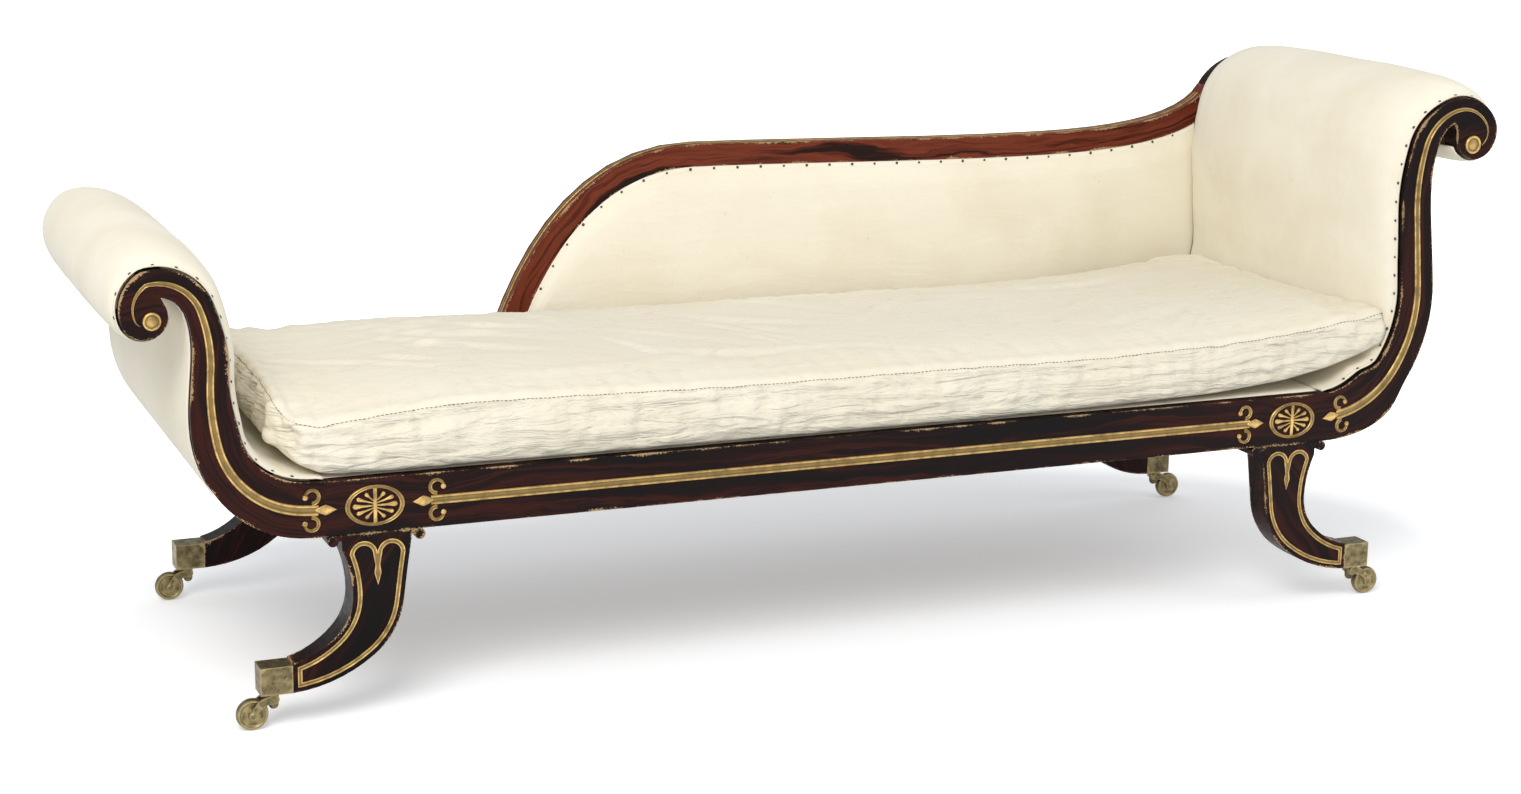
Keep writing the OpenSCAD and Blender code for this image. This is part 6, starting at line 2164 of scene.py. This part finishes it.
    def stitches(self, piece: Piece) -> None:
        """Dark thread along the seam, one stitch after another."""
        mesh = piece.data
        way = value_of(mesh, "around")
        chosen = np.flatnonzero(value_of(mesh, "seam") > 0.99)
        chosen = chosen[np.argsort(way[chosen])][:-1]
        line, up = points_of(mesh)[chosen], normals_of(mesh)[chosen]
        hop = np.linalg.norm(np.diff(line, axis=0, append=line[:1]), axis=1)
        near = np.minimum(hop, np.roll(hop, 1)) < 0.05
        line, up = line[near], up[near]
        run = np.concatenate([[0], np.cumsum(np.linalg.norm(np.diff(line, axis=0), axis=1))])
        keep = np.concatenate([[True], np.diff(run) > 1e-4])
        line, up, run = line[keep], up[keep], run[keep]
        places = np.arange(self.stitch_pitch, run[-1] - self.stitch_pitch, self.stitch_pitch)
        spots, ahead, normal = (
            np.stack([np.interp(at, run, rows[:, k]) for k in range(3)], 1)
            for at, rows in ((places, line), (places + 0.002, line), (places, up)))
        half = (0.41 * self.stitch_pitch, self.thread, self.thread)
        stitch = Bead(THREAD, "X", half, (0.8, 1.1), (8, 6), 3)
        made = stitch.placed("squab_stitches", spots + normal * 0.0002, ahead - spots)
        settle(made, Slot.CALICO, body="squab")

    def build(self) -> None:
        """Make the cushion."""
        piece, pins = self.shell()
        inflate(piece, pins, self.pressure, self.swell, self.let_out)
        subdivide(piece)
        self.sew(piece)
        self.nestle(piece)
        settle(piece, Slot.CALICO, ["squab_cushion"], "squab")
        self.stitches(piece)


# The studio


@dataclass
class Studio:
    """White ground, soft light and the camera of the photograph.

    Attributes:
        picture: width and height of the photograph in pixels.
        focal: the camera's focal length in pixels.
        middle: where its axis meets the photograph, in pixels.
        stand: where it stands.
        yaw: its turn to the right, in radians.
        pitch: its tilt downwards.
        roll: its lean.
        ground: half the width of the floor.
        lamps: name, place, aim, edge, power in watts and colour of each lamp.
    """

    picture: tuple = (1521, 794)
    focal: float = 2638.80
    middle: tuple = (763.63, 396.04)
    stand: tuple = (-1.5879, -3.6524, 1.2785)
    yaw: float = 0.4008
    pitch: float = 0.2355
    roll: float = 0.0174
    ground: float = 30
    lamps: tuple = (
        ("window_light", (-2.6, -3.4, 4.2), (0, 0, 0.4), 2.8, 215, (1.0, 0.985, 0.955)),
        ("fill_light", (3.2, -2.2, 2.6), (0.2, 0, 0.4), 2.6, 30, (0.95, 0.97, 1.0)))

    def floor(self) -> None:
        """A wide pale floor that shows white to the camera and keeps its shadow."""
        r = Recipe("studio_floor")
        seen = r.node("LightPath")
        mirrored = r.maths("MAXIMUM", seen.outputs["Is Glossy Ray"], seen.outputs["Is Transmission Ray"])
        camera = r.maths("MAXIMUM", seen.outputs["Is Camera Ray"], mirrored)
        spot = r.node("VectorMath", {0: r.place((0.62, 1.1, 1))}, operation="LENGTH").outputs["Value"]
        far = r.ramp(spot, [(0.72, 0.0), (0.98, 1.0)])
        diffuse = r.node("BsdfDiffuse", {"Color": (0.86, 0.865, 0.88, 1)})
        level = r.plus(0.3, r.times(far, 0.7))
        glow = r.node("Emission", {"Color": (1, 1, 1, 1), "Strength": r.times(camera, level)})
        both = r.node("AddShader", {0: diffuse.outputs[0], 1: glow.outputs[0]})
        r.node("OutputMaterial", {"Surface": both.outputs[0]})
        mesh = bpy.data.meshes.new("studio_floor")
        corners = [(x * self.ground, y * self.ground, 0) for x, y in ((-1, -1), (1, -1), (1, 1), (-1, 1))]
        mesh.from_pydata(corners, [], [(0, 1, 2, 3)])
        mesh.materials.append(r.material)
        floor = bpy.data.objects.new("studio_floor", mesh)
        bpy.context.scene.collection.objects.link(floor)

    def world(self) -> None:
        """Even pale light from all round, white behind the object."""
        world = bpy.data.worlds.new("studio_air")
        world.use_nodes = True
        air = Nodes(world.node_tree)
        path = air.node("LightPath")
        rays = air.maths("MAXIMUM", path.outputs["Is Camera Ray"], path.outputs["Is Transmission Ray"])
        soft = air.node("Background", {0: (0.93, 0.96, 1.0, 1), 1: 0.62})
        white = air.node("Background", {0: (1, 1, 1, 1), 1: 1.0})
        both = air.node("MixShader", {0: rays, 1: soft.outputs[0], 2: white.outputs[0]})
        air.node("OutputWorld", {"Surface": both.outputs[0]})
        bpy.context.scene.world = world

    def lamp(self, name: str, place: Sequence[float], aim: Sequence[float], size: float, power: float,
             colour: Sequence[float]) -> None:
        """A soft square lamp.

        Args:
            name: its name.
            place: where it stands.
            aim: what it points at.
            size: its edge.
            power: its power in watts.
            colour: its colour.
        """
        light = bpy.data.lights.new(name, "AREA")
        light.shape, light.size, light.energy, light.color = "SQUARE", size, power, colour
        lamp = bpy.data.objects.new(name, light)
        lamp.location = place
        lamp.rotation_euler = (Vector(aim) - Vector(place)).to_track_quat("-Z", "Y").to_euler()
        bpy.context.scene.collection.objects.link(lamp)

    def camera(self) -> None:
        """The camera that took the photograph."""
        wide, high = self.picture
        level = math.cos(self.pitch)
        forward = Vector((math.sin(self.yaw) * level, math.cos(self.yaw) * level, -math.sin(self.pitch)))
        right = Vector((math.cos(self.yaw), -math.sin(self.yaw), 0))
        up = right.cross(forward)
        lean, straight = math.sin(self.roll), math.cos(self.roll)
        right, up = straight * right + lean * up, straight * up - lean * right
        data = bpy.data.cameras.new("photo_camera")
        data.sensor_width = 36
        data.lens = data.sensor_width * self.focal / wide
        data.shift_x = (wide / 2 - self.middle[0]) / wide
        data.shift_y = (self.middle[1] - high / 2) / wide
        data.clip_end = 100
        camera = bpy.data.objects.new("photo_camera", data)
        turn = Matrix((right, up, -forward)).transposed().to_4x4()
        camera.matrix_world = Matrix.Translation(self.stand) @ turn
        bpy.context.scene.collection.objects.link(camera)
        bpy.context.scene.camera = camera

    def build(self) -> None:
        """Set the whole studio."""
        self.floor()
        self.world()
        for lamp in self.lamps:
            self.lamp(*lamp)
        bpy.context.scene.view_settings.view_transform = "Standard"
        self.camera()


def main() -> None:
    """Build the day-bed and its studio."""
    logging.basicConfig(level=logging.INFO, format="%(name)s %(message)s")
    Studio().build()
    for part in (ShowWood(), Gilt(), Casters(), HiddenFrame(), Upholstery(), Squab()):
        part.build()


if __name__ == "__main__":
    main()
